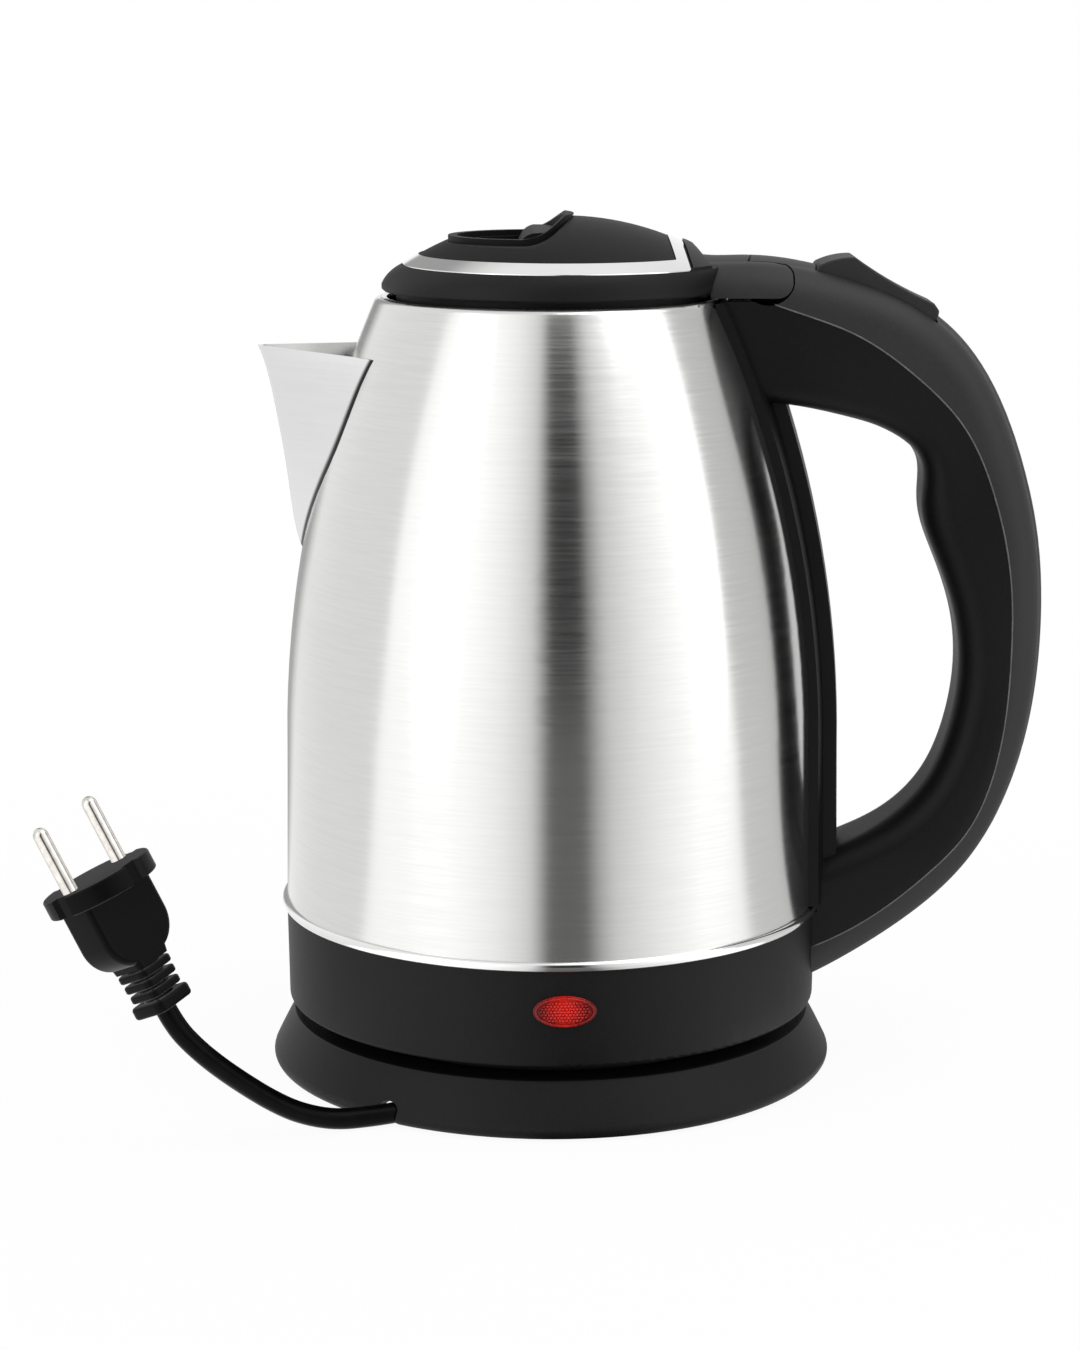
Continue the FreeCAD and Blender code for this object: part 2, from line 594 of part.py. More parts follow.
def well_bezel():
    rim = dome_ball(bezel_rise).common(well_plan(0.0, deck_of_well - 1, 245)).common(above_well())
    rim = rim.cut(above_well(bezel_rise)).cut(well_plan(bezel_width, 200, 250))
    rim = rim.cut(box(-60, 60, -60, 60, ridge_top, 250))
    cup = well_plan(bezel_width - 0.5, well_floor - 1.6, 245).cut(well_plan(bezel_width + 1.2, well_floor, 250))
    cup = cup.cut(above_well()).common(dome_ball())
    bar = slab(outline((-9.3, well_floor), (-9.3, 226.0), ((-8.0, 229.3), (-5.0, 231.1)), (0.6, 231.3),
                       (2.0, well_floor)), 24.0)
    bar = bar.common(well_plan(bezel_width + 0.3, 200, 250))
    return rim.fuse(cup).fuse(bar).removeSplitter()


def chrome_ring():
    plan = d_prism(chrome_outer, chrome_back, 218, 240, band_corner)
    band = dome_ball(0.25).cut(dome_ball(-chrome_depth)).common(plan)
    return band.cut(d_prism(chrome_inner, dome_back, 200, 245, band_corner / 2))


def circle_at(x, radius, z):
    return Part.Wire(Part.Circle(V(x, 0, z), AXIS_Z, radius).toShape())


def rim_block():
    """All that the rim moulding fills: round below, round the dome's axis above, with a collar at the back."""
    lower = turned(outline((0, lid_bottom), (rim_radius - 0.6, lid_bottom), (rim_radius, lid_bottom + 0.6),
                           (rim_radius, lid_bottom + 1.7), (0, lid_bottom + 1.7)))
    bevel = Part.makeLoft([circle_at(0, rim_radius, lid_bottom + 1.7),
                           circle_at(dome_apex_x * 0.45, rim_radius - 0.7, lid_bottom + 4.6),
                           circle_at(dome_apex_x, chrome_outer + rim_gap, chrome_outer_height)], True, False)
    collar = slab(outline((20, lid_bottom + 1), (20, 228), (37.4, 228), (40.2, 224.9), (43.4, 221.0),
                          (44.6, 218.0), (44.6, lid_bottom + 1)), 40)
    collar = collar.common(rod(chrome_outer + rim_gap - 0.05, 210, 240, dome_apex_x)).common(dome_ball(0.9))
    return lower.fuse([bevel, collar])


def lid_rim():
    front_x = chrome_back + rim_gap
    plan = d_prism(chrome_outer + rim_gap, front_x, lid_bottom, 250, band_corner)
    pocket = d_prism(chrome_inner, dome_back, dome_foot, 250, band_corner / 2)
    hollow = d_prism(chrome_inner - dome_wall, dome_back - dome_wall, 200, 250)
    rim = rim_block().cut(plan.cut(dome_ball(-chrome_depth)))
    return rim.cut(pocket).cut(hollow).cut(lid_screws()).removeSplitter()


def arm_outline(grow=0.0):
    """Side view of the hinge arm: a square end with rounded corners that turns inside its swing room."""
    end, d = hinge_x + hinge_end_radius + grow, math.sqrt(0.5)
    top_corner, low_corner = 2.5 + grow, 4.2 + grow
    high, low = 222.1 + grow, arm_bottom - grow
    top_x, low_x = end - top_corner, end - low_corner
    return outline((30, low), (low_x, low),
                   ((low_x + low_corner * d, low + low_corner * (1 - d)), (end, low + low_corner)),
                   (end, high - top_corner),
                   ((top_x + top_corner * d, high - top_corner * (1 - d)), (top_x, high)),
                   (50.6, 224.6 + grow), (30, 227.5 + grow))


def lid_hinge_arm():
    arm = slab(arm_outline(), 30).common(grip_solid(0.0)).cut(rim_block())
    arm = arm.cut(rod(rim_radius, 200, lid_bottom + 1.7))
    slot = tongue_half_width + hinge_gap
    knuckle = Part.makeCylinder(hinge_end_radius, 2 * slot, V(hinge_x, -slot, hinge_z), V(0, 1, 0))
    arm = arm.cut(knuckle).cut(box(hinge_x, 80, -slot, slot, 200, 240))
    return max(arm.cut(hinge_bore(hinge_pin_half + 0.15)).Solids, key=lambda solid: solid.Volume)


def hinge_bore(half):
    return Part.makeCylinder(hinge_pin_radius + 0.05, 2 * half, V(hinge_x, -half, hinge_z), V(0, 1, 0))


def hinge_pin():
    half = hinge_pin_half
    return Part.makeCylinder(hinge_pin_radius, 2 * half, V(hinge_x, -half, hinge_z), V(0, 1, 0))


plug_wall_radius, lid_plug_bottom, lid_screw_angles = 42.0, 207.0, (90, 180, 270)


def lid_underside():
    """Pan that closes the lid from below and drops into the mouth."""
    pan = turned(outline((0, lid_plug_bottom), (plug_wall_radius - 2.0, lid_plug_bottom),
                         ((plug_wall_radius - 0.6, lid_plug_bottom + 0.6),
                          (plug_wall_radius, lid_plug_bottom + 2.0)),
                         (plug_wall_radius, lid_bottom), (plug_wall_radius - 1.6, lid_bottom),
                         (plug_wall_radius - 1.6, lid_plug_bottom + 1.6), (0, lid_plug_bottom + 1.6)))
    posts = around(lid_screw_circle, lid_screw_angles, rod(3.4, lid_plug_bottom + 1.6, lid_bottom))
    holes = around(lid_screw_circle, lid_screw_angles, rod(1.3, lid_plug_bottom - 1, lid_bottom))
    return pan.fuse(posts).cut(holes).removeSplitter()


def lid_screws():
    pan_head = screw(2.5, 1.4, 1.3, 10.4, lid_plug_bottom)
    return Part.makeCompound(around(lid_screw_circle, lid_screw_angles, pan_head))


# Handle: stations give the outer edge, the inner edge, the width and the corner radii
stations = [((34.0, 225.8), (34.0, 186.4), 37.0, 9.0, 6.0),
            ((50.0, 224.1), (52.0, 186.0), 37.0, 9.0, 6.0),
            ((66.0, 222.8), (69.0, 184.2), 36.6, 9.5, 6.0),
            ((85.8, 217.4), (82.0, 181.0), 34.0, 9.5, 6.5),
            ((105.0, 207.5), (94.0, 175.8), 31.0, 9.5, 7.0),
            ((118.6, 191.8), (100.4, 168.2), 28.6, 9.5, 7.5),
            ((127.4, 172.0), (100.6, 159.6), 27.4, 9.5, 8.0),
            ((132.6, 152.5), (102.6, 148.2), 27.0, 9.5, 8.5),
            ((135.0, 128.5), (110.2, 127.0), 27.0, 9.5, 8.0),
            ((133.8, 104.0), (111.3, 105.0), 27.0, 9.5, 8.0),
            ((129.0, 81.5), (107.0, 87.6), 27.4, 9.5, 8.0),
            ((120.8, 62.6), (99.4, 75.2), 28.2, 9.5, 8.0),
            ((107.2, 46.4), (89.2, 67.0), 29.6, 9.5, 7.5),
            ((89.6, 33.6), (79.2, 62.0), 31.4, 9.0, 7.0),
            ((68.0, 22.4), (66.0, 56.0), 33.0, 8.0, 6.0)]
seam = [(38.0, 213.4), (56.0, 213.2), (63.4, 210.8), (80.9, 204.2), (97.5, 192.8), (110.7, 179.2),
        (119.6, 160.0), (124.7, 136.3), (125.3, 118.0), (121.9, 85.2), (114.3, 66.7), (103.6, 55.3),
        (90.4, 44.8), (70.0, 34.4)]


def grip_section(outer, inner, width, outer_corner, inner_corner, inset):
    """Rounded section between the outer and inner edge points, its outer face slightly crowned."""
    o, i = V(outer[0], 0, outer[1]), V(inner[0], 0, inner[1])
    up = o - i
    up.normalize()
    o, i = o - up * inset, i + up * inset
    height, half = (o - i).Length, width / 2 - inset
    ro, ri = outer_corner - inset, inner_corner - inset
    side = V(0, 1, 0)

    def at(t, s):
        return i + side * t + up * s
    d = math.sqrt(0.5)
    crown = 1.2
    edges = [Part.Arc(at(-half + ro, height - crown), at(0, height), at(half - ro, height - crown)),
             Part.Arc(at(half - ro, height - crown), at(half - ro + ro * d, height - crown - ro + ro * d),
                      at(half, height - crown - ro)),
             Part.LineSegment(at(half, height - crown - ro), at(half, ri)),
             Part.Arc(at(half, ri), at(half - ri + ri * d, ri - ri * d), at(half - ri, 0)),
             Part.LineSegment(at(half - ri, 0), at(-half + ri, 0)),
             Part.Arc(at(-half + ri, 0), at(-half + ri - ri * d, ri - ri * d), at(-half, ri)),
             Part.LineSegment(at(-half, ri), at(-half, height - crown - ro)),
             Part.Arc(at(-half, height - crown - ro), at(-half + ro - ro * d, height - crown - ro + ro * d),
                      at(-half + ro, height - crown))]
    return Part.Wire([edge.toShape() for edge in edges])


def grip_solid(inset):
    return Part.makeLoft([grip_section(*s, inset) for s in stations], True, False)


def inside_seam():
    curve = Part.BSplineCurve()
    curve.interpolate([V(x, 0, z) for x, z in seam])
    (first_x, first_z), (last_x, last_z) = seam[0], seam[-1]
    ends = [V(last_x, 0, last_z), V(20, 0, last_z), V(20, 0, first_z), V(first_x, 0, first_z)]
    edges = [curve.toShape()] + [Part.LineSegment(a, b).toShape() for a, b in zip(ends, ends[1:])]
    return slab(Part.Wire(edges), 40)


def body_strip(half_width, rise, bottom, top):
    mid = (bottom + top) / 2
    low = body_radius(bottom)
    band = turned(outline((low - 4, bottom), (low + rise, bottom), (wall_waist_radius + rise, waist_height),
                          ((body_radius(mid) + rise, mid), (body_radius(top) + rise, top)),
                          (body_radius(top) - 4, top),
                          ((body_radius(mid) - 4, mid), (wall_waist_radius - 4, waist_height))), 90, -45)
    return band.common(box(20, 100, -half_width, half_width, 0, 240))


def about_rocker(radius, degrees):
    a = math.radians(degrees)
    return rocker_x + radius * math.cos(a), rocker_z + radius * math.sin(a)


def rocker_well():
    """Opening for the rocker, its end walls round the rocker's axle."""
    head, tail = rocker_head_radius + rocker_gap, rocker_tail_radius + rocker_gap
    return slab(outline(about_rocker(head, 144), (about_rocker(head, 157), about_rocker(head, 170)), (74.0, 206.5),
                        (99.0, 201.0), about_rocker(tail, -38),
                        (about_rocker(tail, -22), about_rocker(tail, -6)), (104.6, 240), (72.0, 240)),
                rocker_half_width + rocker_gap)


def lid_swing_room():
    """Room for the lid's hinge arm and the turn of its end about the pin."""
    room = slab(arm_outline(hinge_gap), 30)
    swing = Part.makeCylinder(hinge_end_radius + hinge_gap + 0.05, 60, V(hinge_x, -30, hinge_z), V(0, 1, 0))
    return room.fuse(swing.common(box(40, 70, -30, 30, 205, hinge_z + 0.6)))


def hinge_tongue():
    half = tongue_half_width
    reach = hinge_end_radius - hinge_gap
    knuckle = Part.makeCylinder(reach, 2 * half, V(hinge_x, -half, hinge_z), V(0, 1, 0))
    root = slab(outline((hinge_x, hinge_z - reach), (69.5, hinge_z - reach - 1.0), (69.5, 230), (hinge_x, 230)), half)
    return knuckle.fuse(root).common(grip_solid(0.0))


def handle_shells():
    full = grip_solid(0.0).cut(grip_solid(grip_wall)).cut(jug_block())
    lip = rod(body_radius(shoulder_height) + 0.3, shoulder_height - 0.5, 240)
    full = full.cut(lid_swing_room()).cut([rod(60, 213.0, 240), lip]).cut(rocker_well())
    inner_room = inside_seam()
    outer = full.cut(inner_room).fuse(hinge_tongue()).cut(hinge_bore(hinge_pin_half))
    outer = outer.cut(grip_solid(grip_wall).common(box(66.5, 140, -20, 20, 20, 230))).cut(rocker_well())
    top, bottom = 212.7, bead_top + 0.3
    strip = body_strip(strip_half_width, strip_flange, bottom, top)
    strip = strip.fuse(body_strip(strip_core, strip_rise, bottom, top)).cut([jug_block(), lip])
    inner = full.common(inner_room).fuse(strip).cut(lid_swing_room())
    inner = inner.removeSplitter()
    return tuple(max(shape.Solids, key=lambda s: s.Volume) for shape in (outer, inner))


def switch_rocker():
    head, tail = rocker_head_radius, rocker_tail_radius
    cap = slab(outline(about_rocker(head, 148.6), ((75.8, 223.5), (81.2, 224.1)), ((90.6, 217.8), (102.6, 211.7)),
                       about_rocker(tail, -9.5), (about_rocker(tail, -14), about_rocker(tail, -18.5)),
                       (96.0, 206.6), (84.0, 209.8), (76.0, 213.4), about_rocker(head, 160),
                       (about_rocker(head, 155), about_rocker(head, 148.6))), rocker_half_width)
    axle = Part.makeCylinder(1.6, 2 * rocker_half_width, V(rocker_x, -rocker_half_width, rocker_z),
                             V(0, 1, 0))
    return cap.fuse(axle).removeSplitter()


def steam_switch():
    body = box(77.0, 96.0, -7.5, 7.5, 176.0, 199.5).common(grip_solid(grip_wall))
    plunger = rod(1.8, 199.5, 203.5, 84.0)
    return body.fuse(plunger).removeSplitter()


def bimetal_disc():
    return Part.makeCylinder(6.4, 0.8, V(76.2, 0, 192.6), V(1, 0, 0)).cut(box(76, 77.5, -1.2, 1.2, 189, 195))


def main():
    os.makedirs("parts", exist_ok=True)
    handle_outer, handle_inner = handle_shells()
    makers = [base_shell, base_plate, base_socket, socket_contacts, base_feet, base_screws, cord_gland,
              power_cord_winding, power_cord_lead, plug_boot, plug_body, plug_pins, socket_shutter,
              steel_body, spout, bead_ring, kettle_floor, heat_spreader, heating_element, coupler,
              dry_boil_discs, bottom_skirt, bottom_cover, cover_screws, indicator_lens, indicator_lamp,
              hinge_pin, steam_switch, bimetal_disc, lid_rim, lid_hinge_arm, chrome_ring, lid_dome,
              well_bezel, lid_underside, lid_screws, switch_rocker]
    for maker in makers:
        save(maker.__name__, maker())
    save("handle_outer", handle_outer)
    save("handle_inner", handle_inner)


main()
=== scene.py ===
import math

import bmesh
import bpy
from mathutils import Matrix, Vector
from mathutils.bvhtree import BVHTree


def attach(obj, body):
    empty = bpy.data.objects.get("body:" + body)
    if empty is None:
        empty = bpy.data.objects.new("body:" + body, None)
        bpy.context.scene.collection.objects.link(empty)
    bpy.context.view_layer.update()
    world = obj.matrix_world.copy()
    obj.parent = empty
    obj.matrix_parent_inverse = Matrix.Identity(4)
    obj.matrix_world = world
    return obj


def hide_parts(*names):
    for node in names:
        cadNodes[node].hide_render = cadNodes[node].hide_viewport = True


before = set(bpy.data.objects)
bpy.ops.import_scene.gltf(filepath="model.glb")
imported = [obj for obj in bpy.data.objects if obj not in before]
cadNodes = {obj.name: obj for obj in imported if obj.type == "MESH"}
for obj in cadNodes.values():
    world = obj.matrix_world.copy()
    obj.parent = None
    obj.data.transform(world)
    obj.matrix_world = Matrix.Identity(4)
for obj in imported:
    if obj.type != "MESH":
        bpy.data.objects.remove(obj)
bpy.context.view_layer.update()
scene = bpy.context.scene
print("frame loaded with", len(cadNodes), "nodes")

# camera, as the photograph was taken
shot = {"place": (-0.0031, -0.872, 0.286), "tilt": 78.492, "lens": 85.7, "sensor": 36.0,
        "near": 0.01, "far": 20.0}
cameraData = bpy.data.cameras.new("shotCamera")
cameraData.lens, cameraData.sensor_width = shot["lens"], shot["sensor"]
cameraData.clip_start, cameraData.clip_end = shot["near"], shot["far"]
camera = bpy.data.objects.new("shotCamera", cameraData)
camera.location = shot["place"]
camera.rotation_euler = (math.radians(shot["tilt"]), 0, 0)
scene.collection.objects.link(camera)
scene.camera = camera
scene.view_settings.view_transform = "Standard"


class Wire:
    # one socket of a node tree; sums of wires and numbers add their Math nodes
    def __init__(self, tree, socket):
        self.tree, self.socket = tree, socket

    def node(self, kind, settings=None, values=None, out=0):
        added = self.tree.nodes.new(kind)
        for name, value in (settings or {}).items():
            if name == "stops":
                ramp = added.color_ramp
                while len(ramp.elements) < len(value):
                    ramp.elements.new(0.5)
                for stop, (place, shade) in zip(ramp.elements, value):
                    stop.position, stop.color = place, shade
            else:
                setattr(added, name, value)
        for key, value in (values or {}).items():
            if isinstance(value, Wire):
                self.tree.links.new(value.socket, added.inputs[key])
            else:
                added.inputs[key].default_value = value
        return Wire(self.tree, added.outputs[out])

    def calc(self, operation, *terms):
        return self.node("ShaderNodeMath", {"operation": operation}, dict(enumerate(terms)))

    def __add__(self, other):
        return self.calc("ADD", self, other)

    def __sub__(self, other):
        return self.calc("SUBTRACT", self, other)

    def __rsub__(self, other):
        return self.calc("SUBTRACT", other, self)

    def __mul__(self, other):
        return self.calc("MULTIPLY", self, other)

    __radd__, __rmul__ = __add__, __mul__

    def root(self):
        return self.calc("SQRT", self)

    def above(self, low, span):
        # low where this value is 0, low plus span where it is 1
        return self * span + low

    def mixed(self, other, share):
        return self * share + other * (1 - share)

    def between(self, low, high):
        # a smooth step from 0 to 1 as this value goes from low to high
        values = {"Value": self, "From Min": low, "From Max": high}
        return self.node("ShaderNodeMapRange", {"interpolation_type": "SMOOTHSTEP"}, values)

    def tint(self, first, second):
        # colour from first to second as this value goes from 0 to 1; 6, 7 and 2 are the Mix node's colours
        values = {0: self, 6: (*first, 1), 7: (*second, 1)}
        return self.node("ShaderNodeMix", {"data_type": "RGBA"}, values, 2)

    def stretched(self, scale):
        return self.node("ShaderNodeMapping", None, {"Vector": self, "Scale": scale})

    def noise(self, scale, detail=2.0, rough=0.5):
        values = {"Vector": self, "Scale": scale, "Detail": detail, "Roughness": rough}
        return self.node("ShaderNodeTexNoise", None, values)

    def bump(self, strength, depth):
        return self.node("ShaderNodeBump", None, {"Height": self, "Strength": strength, "Distance": depth})

    def axes(self):
        apart = self.node("ShaderNodeSeparateXYZ", None, {0: self}).socket.node
        return [Wire(self.tree, apart.outputs[axis]) for axis in "XYZ"]

    def vector(self, x, y, z):
        return self.node("ShaderNodeCombineXYZ", None, {0: x, 1: y, 2: z})

    def moved(self, z):
        values = {"Geometry": self, "Translation": self.vector(0.0, 0.0, z)}
        return self.node("GeometryNodeTransform", None, values)

    def joined(self, *pieces):
        together = self.node("GeometryNodeJoinGeometry")
        for piece in pieces:
            self.tree.links.new(piece.socket, together.socket.node.inputs["Geometry"])
        return together

    def smoothed(self):
        return self.node("GeometryNodeSetShadeSmooth", None, {"Geometry": self})


def finish(name, fixed, paint):
    # fixed: values that hold all over; paint(objectCoordinates) returns what changes over the surface
    look = bpy.data.materials.new(name)
    look.use_nodes = True
    tree = look.node_tree
    shader = tree.nodes["Principled BSDF"]
    for key, value in fixed.items():
        shader.inputs[key].default_value = value
    spot = Wire(tree, tree.nodes.new("ShaderNodeTexCoord").outputs["Object"])
    for key, wire in paint(spot).items():
        tree.links.new(wire.socket, shader.inputs[key])
    return look


# outer wall of the steel body in section: an arc, widest at the waist
bodyCurve = {"waist": 0.0906, "radius": 0.0731, "curve": 0.3057}


def wallAt(height, root):
    # the wall's radius at a height; root is math.sqrt for a number and Wire.root for a wire
    rise = height - bodyCurve["waist"]
    return root(bodyCurve["curve"] ** 2 - rise * rise) + (bodyCurve["radius"] - bodyCurve["curve"])


metal = {"Metallic": 1.0}
brushed = {"Metallic": 1.0, "Anisotropic Rotation": 0.25}
# in the looks, a noise is its scale, detail and roughness; "roughness" is the lowest value and its span
steelLook = {"deep": (0.685, 0.685, 0.675), "pale": (0.725, 0.725, 0.715), "streaks": (70, 70, 2600),
             "streakNoise": (1.0, 3.0, 0.6), "grooves": (45, 45, 1250), "streakShare": 0.5, "clouds": 9.0,
             "contrast": (0.3, 0.7), "roughness": (0.09, 0.22), "cloudRough": 0.02, "bump": (0.022, 0.0001)}


def steelPaint(spot):
    fine = spot.stretched(steelLook["streaks"]).noise(*steelLook["streakNoise"])
    broad = spot.stretched(steelLook["grooves"]).noise(1.0)
    cloud = spot.noise(steelLook["clouds"])
    line = fine.mixed(broad, steelLook["streakShare"])
    return {"Base Color": line.between(*steelLook["contrast"]).tint(steelLook["deep"], steelLook["pale"]),
            "Roughness": line.above(*steelLook["roughness"]) + cloud * steelLook["cloudRough"],
            "Normal": line.bump(*steelLook["bump"])}


spoutLook = {"scratches": (40, 40, 1400), "shade": (0.74, 0.05), "roughness": (0.20, 0.06),
             "junctionShadeWidth": (0.0003, 0.0009), "junctionShadeDark": 0.04}


def spoutPaint(spot):
    # smoother steel, with painted shade darkening its colour along the junction where the spout meets the
    # body's wall
    x, y, z = spot.axes()
    fine = spot.stretched(spoutLook["scratches"]).noise(1.0)
    out = (x * x + y * y).root() - wallAt(z, Wire.root)
    clear = out.between(*spoutLook["junctionShadeWidth"])
    # painted shade: the colour darkens close to the body's wall, where the spout joins it
    junctionShade = clear.above(spoutLook["junctionShadeDark"], 1 - spoutLook["junctionShadeDark"])
    return {"Base Color": junctionShade * fine.above(*spoutLook["shade"]),
            "Roughness": fine.above(*spoutLook["roughness"])}


chromeLook = {"deep": (0.80, 0.80, 0.80), "pale": (0.88, 0.88, 0.87), "haze": (60.0, 3.0),
              "wipes": (300, 300, 40), "roughness": (0.05, 0.09)}


def chromePaint(spot):
    haze = spot.noise(*chromeLook["haze"])
    wipe = spot.stretched(chromeLook["wipes"]).noise(1.0)
    return {"Base Color": haze.tint(chromeLook["deep"], chromeLook["pale"]),
            "Roughness": wipe.above(*chromeLook["roughness"])}


lensLook = {"centre": (0.0033, -0.0733, 0.0352), "glowReach": (0.0005, 0.0075), "glowShare": 0.75,
            "flecks": (1700.0, 1.0), "fleckShare": 0.9, "base": 0.18, "roughness": (0.12, 0.15),
            "deep": (0.13, 0.002, 0.002), "glow": (0.72, 0.014, 0.006),
            "fixed": {"Coat Weight": 0.25, "Coat Roughness": 0.08, "Specular IOR Level": 0.3,
                      "Subsurface Weight": 0.15, "Subsurface Radius": (0.004, 0.0006, 0.0006)}}


def lensPaint(spot):
    # red plastic with a painted glow: its colour is brighter towards the lamp behind its centre
    ends = {0: spot, 1: lensLook["centre"]}
    away = spot.node("ShaderNodeVectorMath", {"operation": "DISTANCE"}, ends, 1)
    fleck = spot.noise(*lensLook["flecks"])
    # painted glow: the base colour lightens round the lens's centre, with random flecks added on top
    near = (1 - away.between(*lensLook["glowReach"])) * lensLook["glowShare"]
    paintedGlowAndFlecks = near + (fleck - 0.5) * lensLook["fleckShare"] + lensLook["base"]
    return {"Base Color": paintedGlowAndFlecks.between(0.0, 1.0).tint(lensLook["deep"], lensLook["glow"]),
            "Roughness": fleck.above(*lensLook["roughness"])}


sheathLook = {"dark": (0.0010, 0.0010, 0.0011), "pale": (0.0024, 0.0024, 0.0026),
              "scuffs": (260.0, 4.0, 0.6), "contrast": (0.35, 0.7), "roughness": (0.24, 0.12),
              "skin": (2400.0, 1.0), "bump": (0.08, 0.00006)}


def sheathPaint(spot):
    scuff = spot.noise(*sheathLook["scuffs"])
    skin = spot.noise(*sheathLook["skin"])
    return {"Base Color": scuff.between(*sheathLook["contrast"]).tint(sheathLook["dark"], sheathLook["pale"]),
            "Roughness": scuff.above(*sheathLook["roughness"]), "Normal": skin.bump(*sheathLook["bump"])}


# moulded plastic with a fine grain: dark, pale, lowest roughness and its span, bump strength, specular level
grainLook = {"coarse": (1500.0, 2.0, 0.6), "fine": (3600.0, 1.0), "coarseShare": 0.7, "clouds": (22.0, 3.0),
             "grainShare": 0.6, "contrast": (0.3, 0.7), "cloudRough": 0.05, "depth": 0.00016}
grainedFinishes = {
    "grainedBlack": ((0.0040, 0.0040, 0.0043), (0.0070, 0.0070, 0.0074), (0.40, 0.16), 0.22, 0.19),
    "shellBlack": ((0.0110, 0.0110, 0.0115), (0.0180, 0.0180, 0.0186), (0.46, 0.18), 0.26, 0.36),
    "footBlack": ((0.0042, 0.0042, 0.0045), (0.0076, 0.0076, 0.0080), (0.40, 0.16), 0.22, 0.17),
    "domeBlack": ((0.0040, 0.0040, 0.0043), (0.0070, 0.0070, 0.0074), (0.46, 0.16), 0.22, 0.13),
    "handleBlack": ((0.0030, 0.0030, 0.0033), (0.0056, 0.0056, 0.0060), (0.34, 0.14), 0.10, 0.16),
    "plugBlack": ((0.0010, 0.0010, 0.0011), (0.0022, 0.0022, 0.0024), (0.28, 0.18), 0.14, 0.08)}


def grainedPaint(dark, pale, roughness, strength):
    def paint(spot):
        coarse = spot.noise(*grainLook["coarse"])
        fine = spot.noise(*grainLook["fine"])
        cloud = spot.noise(*grainLook["clouds"])
        grain = coarse.mixed(fine, grainLook["coarseShare"])
        mottle = grain.mixed(cloud, grainLook["grainShare"])
        return {"Base Color": mottle.between(*grainLook["contrast"]).tint(dark, pale),
                "Roughness": grain.above(*roughness) + cloud * grainLook["cloudRough"],
                "Normal": grain.bump(strength, grainLook["depth"])}
    return paint


# smooth stuffs: dark, pale, lowest roughness and its span, scale of the clouds, values that hold all over
smoothLook = {"detail": (4.0, 0.6), "contrast": (0.35, 0.65)}
smoothFinishes = {
    # pale grey for the handle's parting line, a painted highlight along that edge
    "partingGrey": ((0.075, 0.075, 0.077), (0.11, 0.11, 0.112), (0.30, 0.2), 300.0, {}),
    "softRubber": ((0.020, 0.020, 0.021), (0.036, 0.036, 0.037), (0.62, 0.2), 400.0, {}),
    "switchGrey": ((0.11, 0.11, 0.115), (0.17, 0.17, 0.175), (0.45, 0.2), 200.0, {}),
    "pinNickel": ((0.62, 0.59, 0.55), (0.78, 0.75, 0.71), (0.10, 0.14), 500.0, metal),
    "castAluminium": ((0.52, 0.52, 0.53), (0.68, 0.68, 0.69), (0.35, 0.25), 320.0, metal),
    "contactBrass": ((0.55, 0.40, 0.18), (0.72, 0.56, 0.28), (0.22, 0.2), 600.0, metal),
    "screwZinc": ((0.40, 0.40, 0.41), (0.56, 0.56, 0.57), (0.25, 0.25), 700.0, metal),
    "lampGlass": ((0.90, 0.72, 0.58), (0.96, 0.84, 0.72), (0.04, 0.06), 300.0,
                  {"Transmission Weight": 0.9, "IOR": 1.45})}


def smoothPaint(dark, pale, roughness, clouds):
    def paint(spot):
        cloud = spot.noise(clouds, *smoothLook["detail"])
        return {"Base Color": cloud.between(*smoothLook["contrast"]).tint(dark, pale),
                "Roughness": cloud.above(*roughness)}
    return paint


looks = {
    "brushedSteel": finish("brushedSteel", {**brushed, "Anisotropic": 0.85}, steelPaint),
    "spoutSteel": finish("spoutSteel", {**brushed, "Anisotropic": 0.5}, spoutPaint),
    "brightChrome": finish("brightChrome", metal, chromePaint),
    "lensRed": finish("lensRed", lensLook["fixed"], lensPaint),
    "cordSheath": finish("cordSheath", {"Specular IOR Level": 0.06}, sheathPaint)}
for name, (dark, pale, roughness, strength, specular) in grainedFinishes.items():
    paint = grainedPaint(dark, pale, roughness, strength)
    looks[name] = finish(name, {"Specular IOR Level": specular}, paint)
for name, (dark, pale, roughness, clouds, fixed) in smoothFinishes.items():
    looks[name] = finish(name, fixed, smoothPaint(dark, pale, roughness, clouds))
print("finishes made:", len(looks))


def placed(name, mesh, body, look, slot, *stoodFor):
    piece = bpy.data.objects.new(name, mesh)
    scene.collection.objects.link(piece)
    mesh.materials.clear()
    mesh.materials.append(looks[look])
    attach(piece, body)
    if stoodFor:
        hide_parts(*stoodFor)
    return piece


# how a copied node is cleaned and rounded: metres and degrees
soften = {"merge": 2e-6, "sliver": 1e-6, "flat": 0.2, "segments": 2, "sharp": 32.0}


def merged(node):
    shape = bmesh.new()
    shape.from_mesh(cadNodes[node].data)
    bmesh.ops.remove_doubles(shape, verts=shape.verts, dist=soften["merge"])
    return shape


def softened(node, body, look, slot, edge, sharp=soften["sharp"]):
    # a merged copy of a node, smooth between its sharp edges, with those edges rounded
    cut = merged(node)
    bmesh.ops.dissolve_degenerate(cut, edges=cut.edges, dist=soften["sliver"])
    if edge:
        flat = math.radians(soften["flat"])
        bmesh.ops.dissolve_limit(cut, angle_limit=flat, verts=cut.verts, edges=cut.edges)
    for face in cut.faces:
        face.smooth = True
    for line in cut.edges:
        line.smooth = line.is_manifold and line.calc_face_angle() < math.radians(sharp)
    mesh = bpy.data.meshes.new(node + "_piece")
    cut.to_mesh(mesh)
    cut.free()
    piece = placed(node + "_piece", mesh, body, look, slot, node)
    if edge:
        rounding = piece.modifiers.new("edge", "BEVEL")
        rounding.width, rounding.segments = edge, soften["segments"]
        rounding.limit_method, rounding.angle_limit = "ANGLE", math.radians(sharp)
    return piece


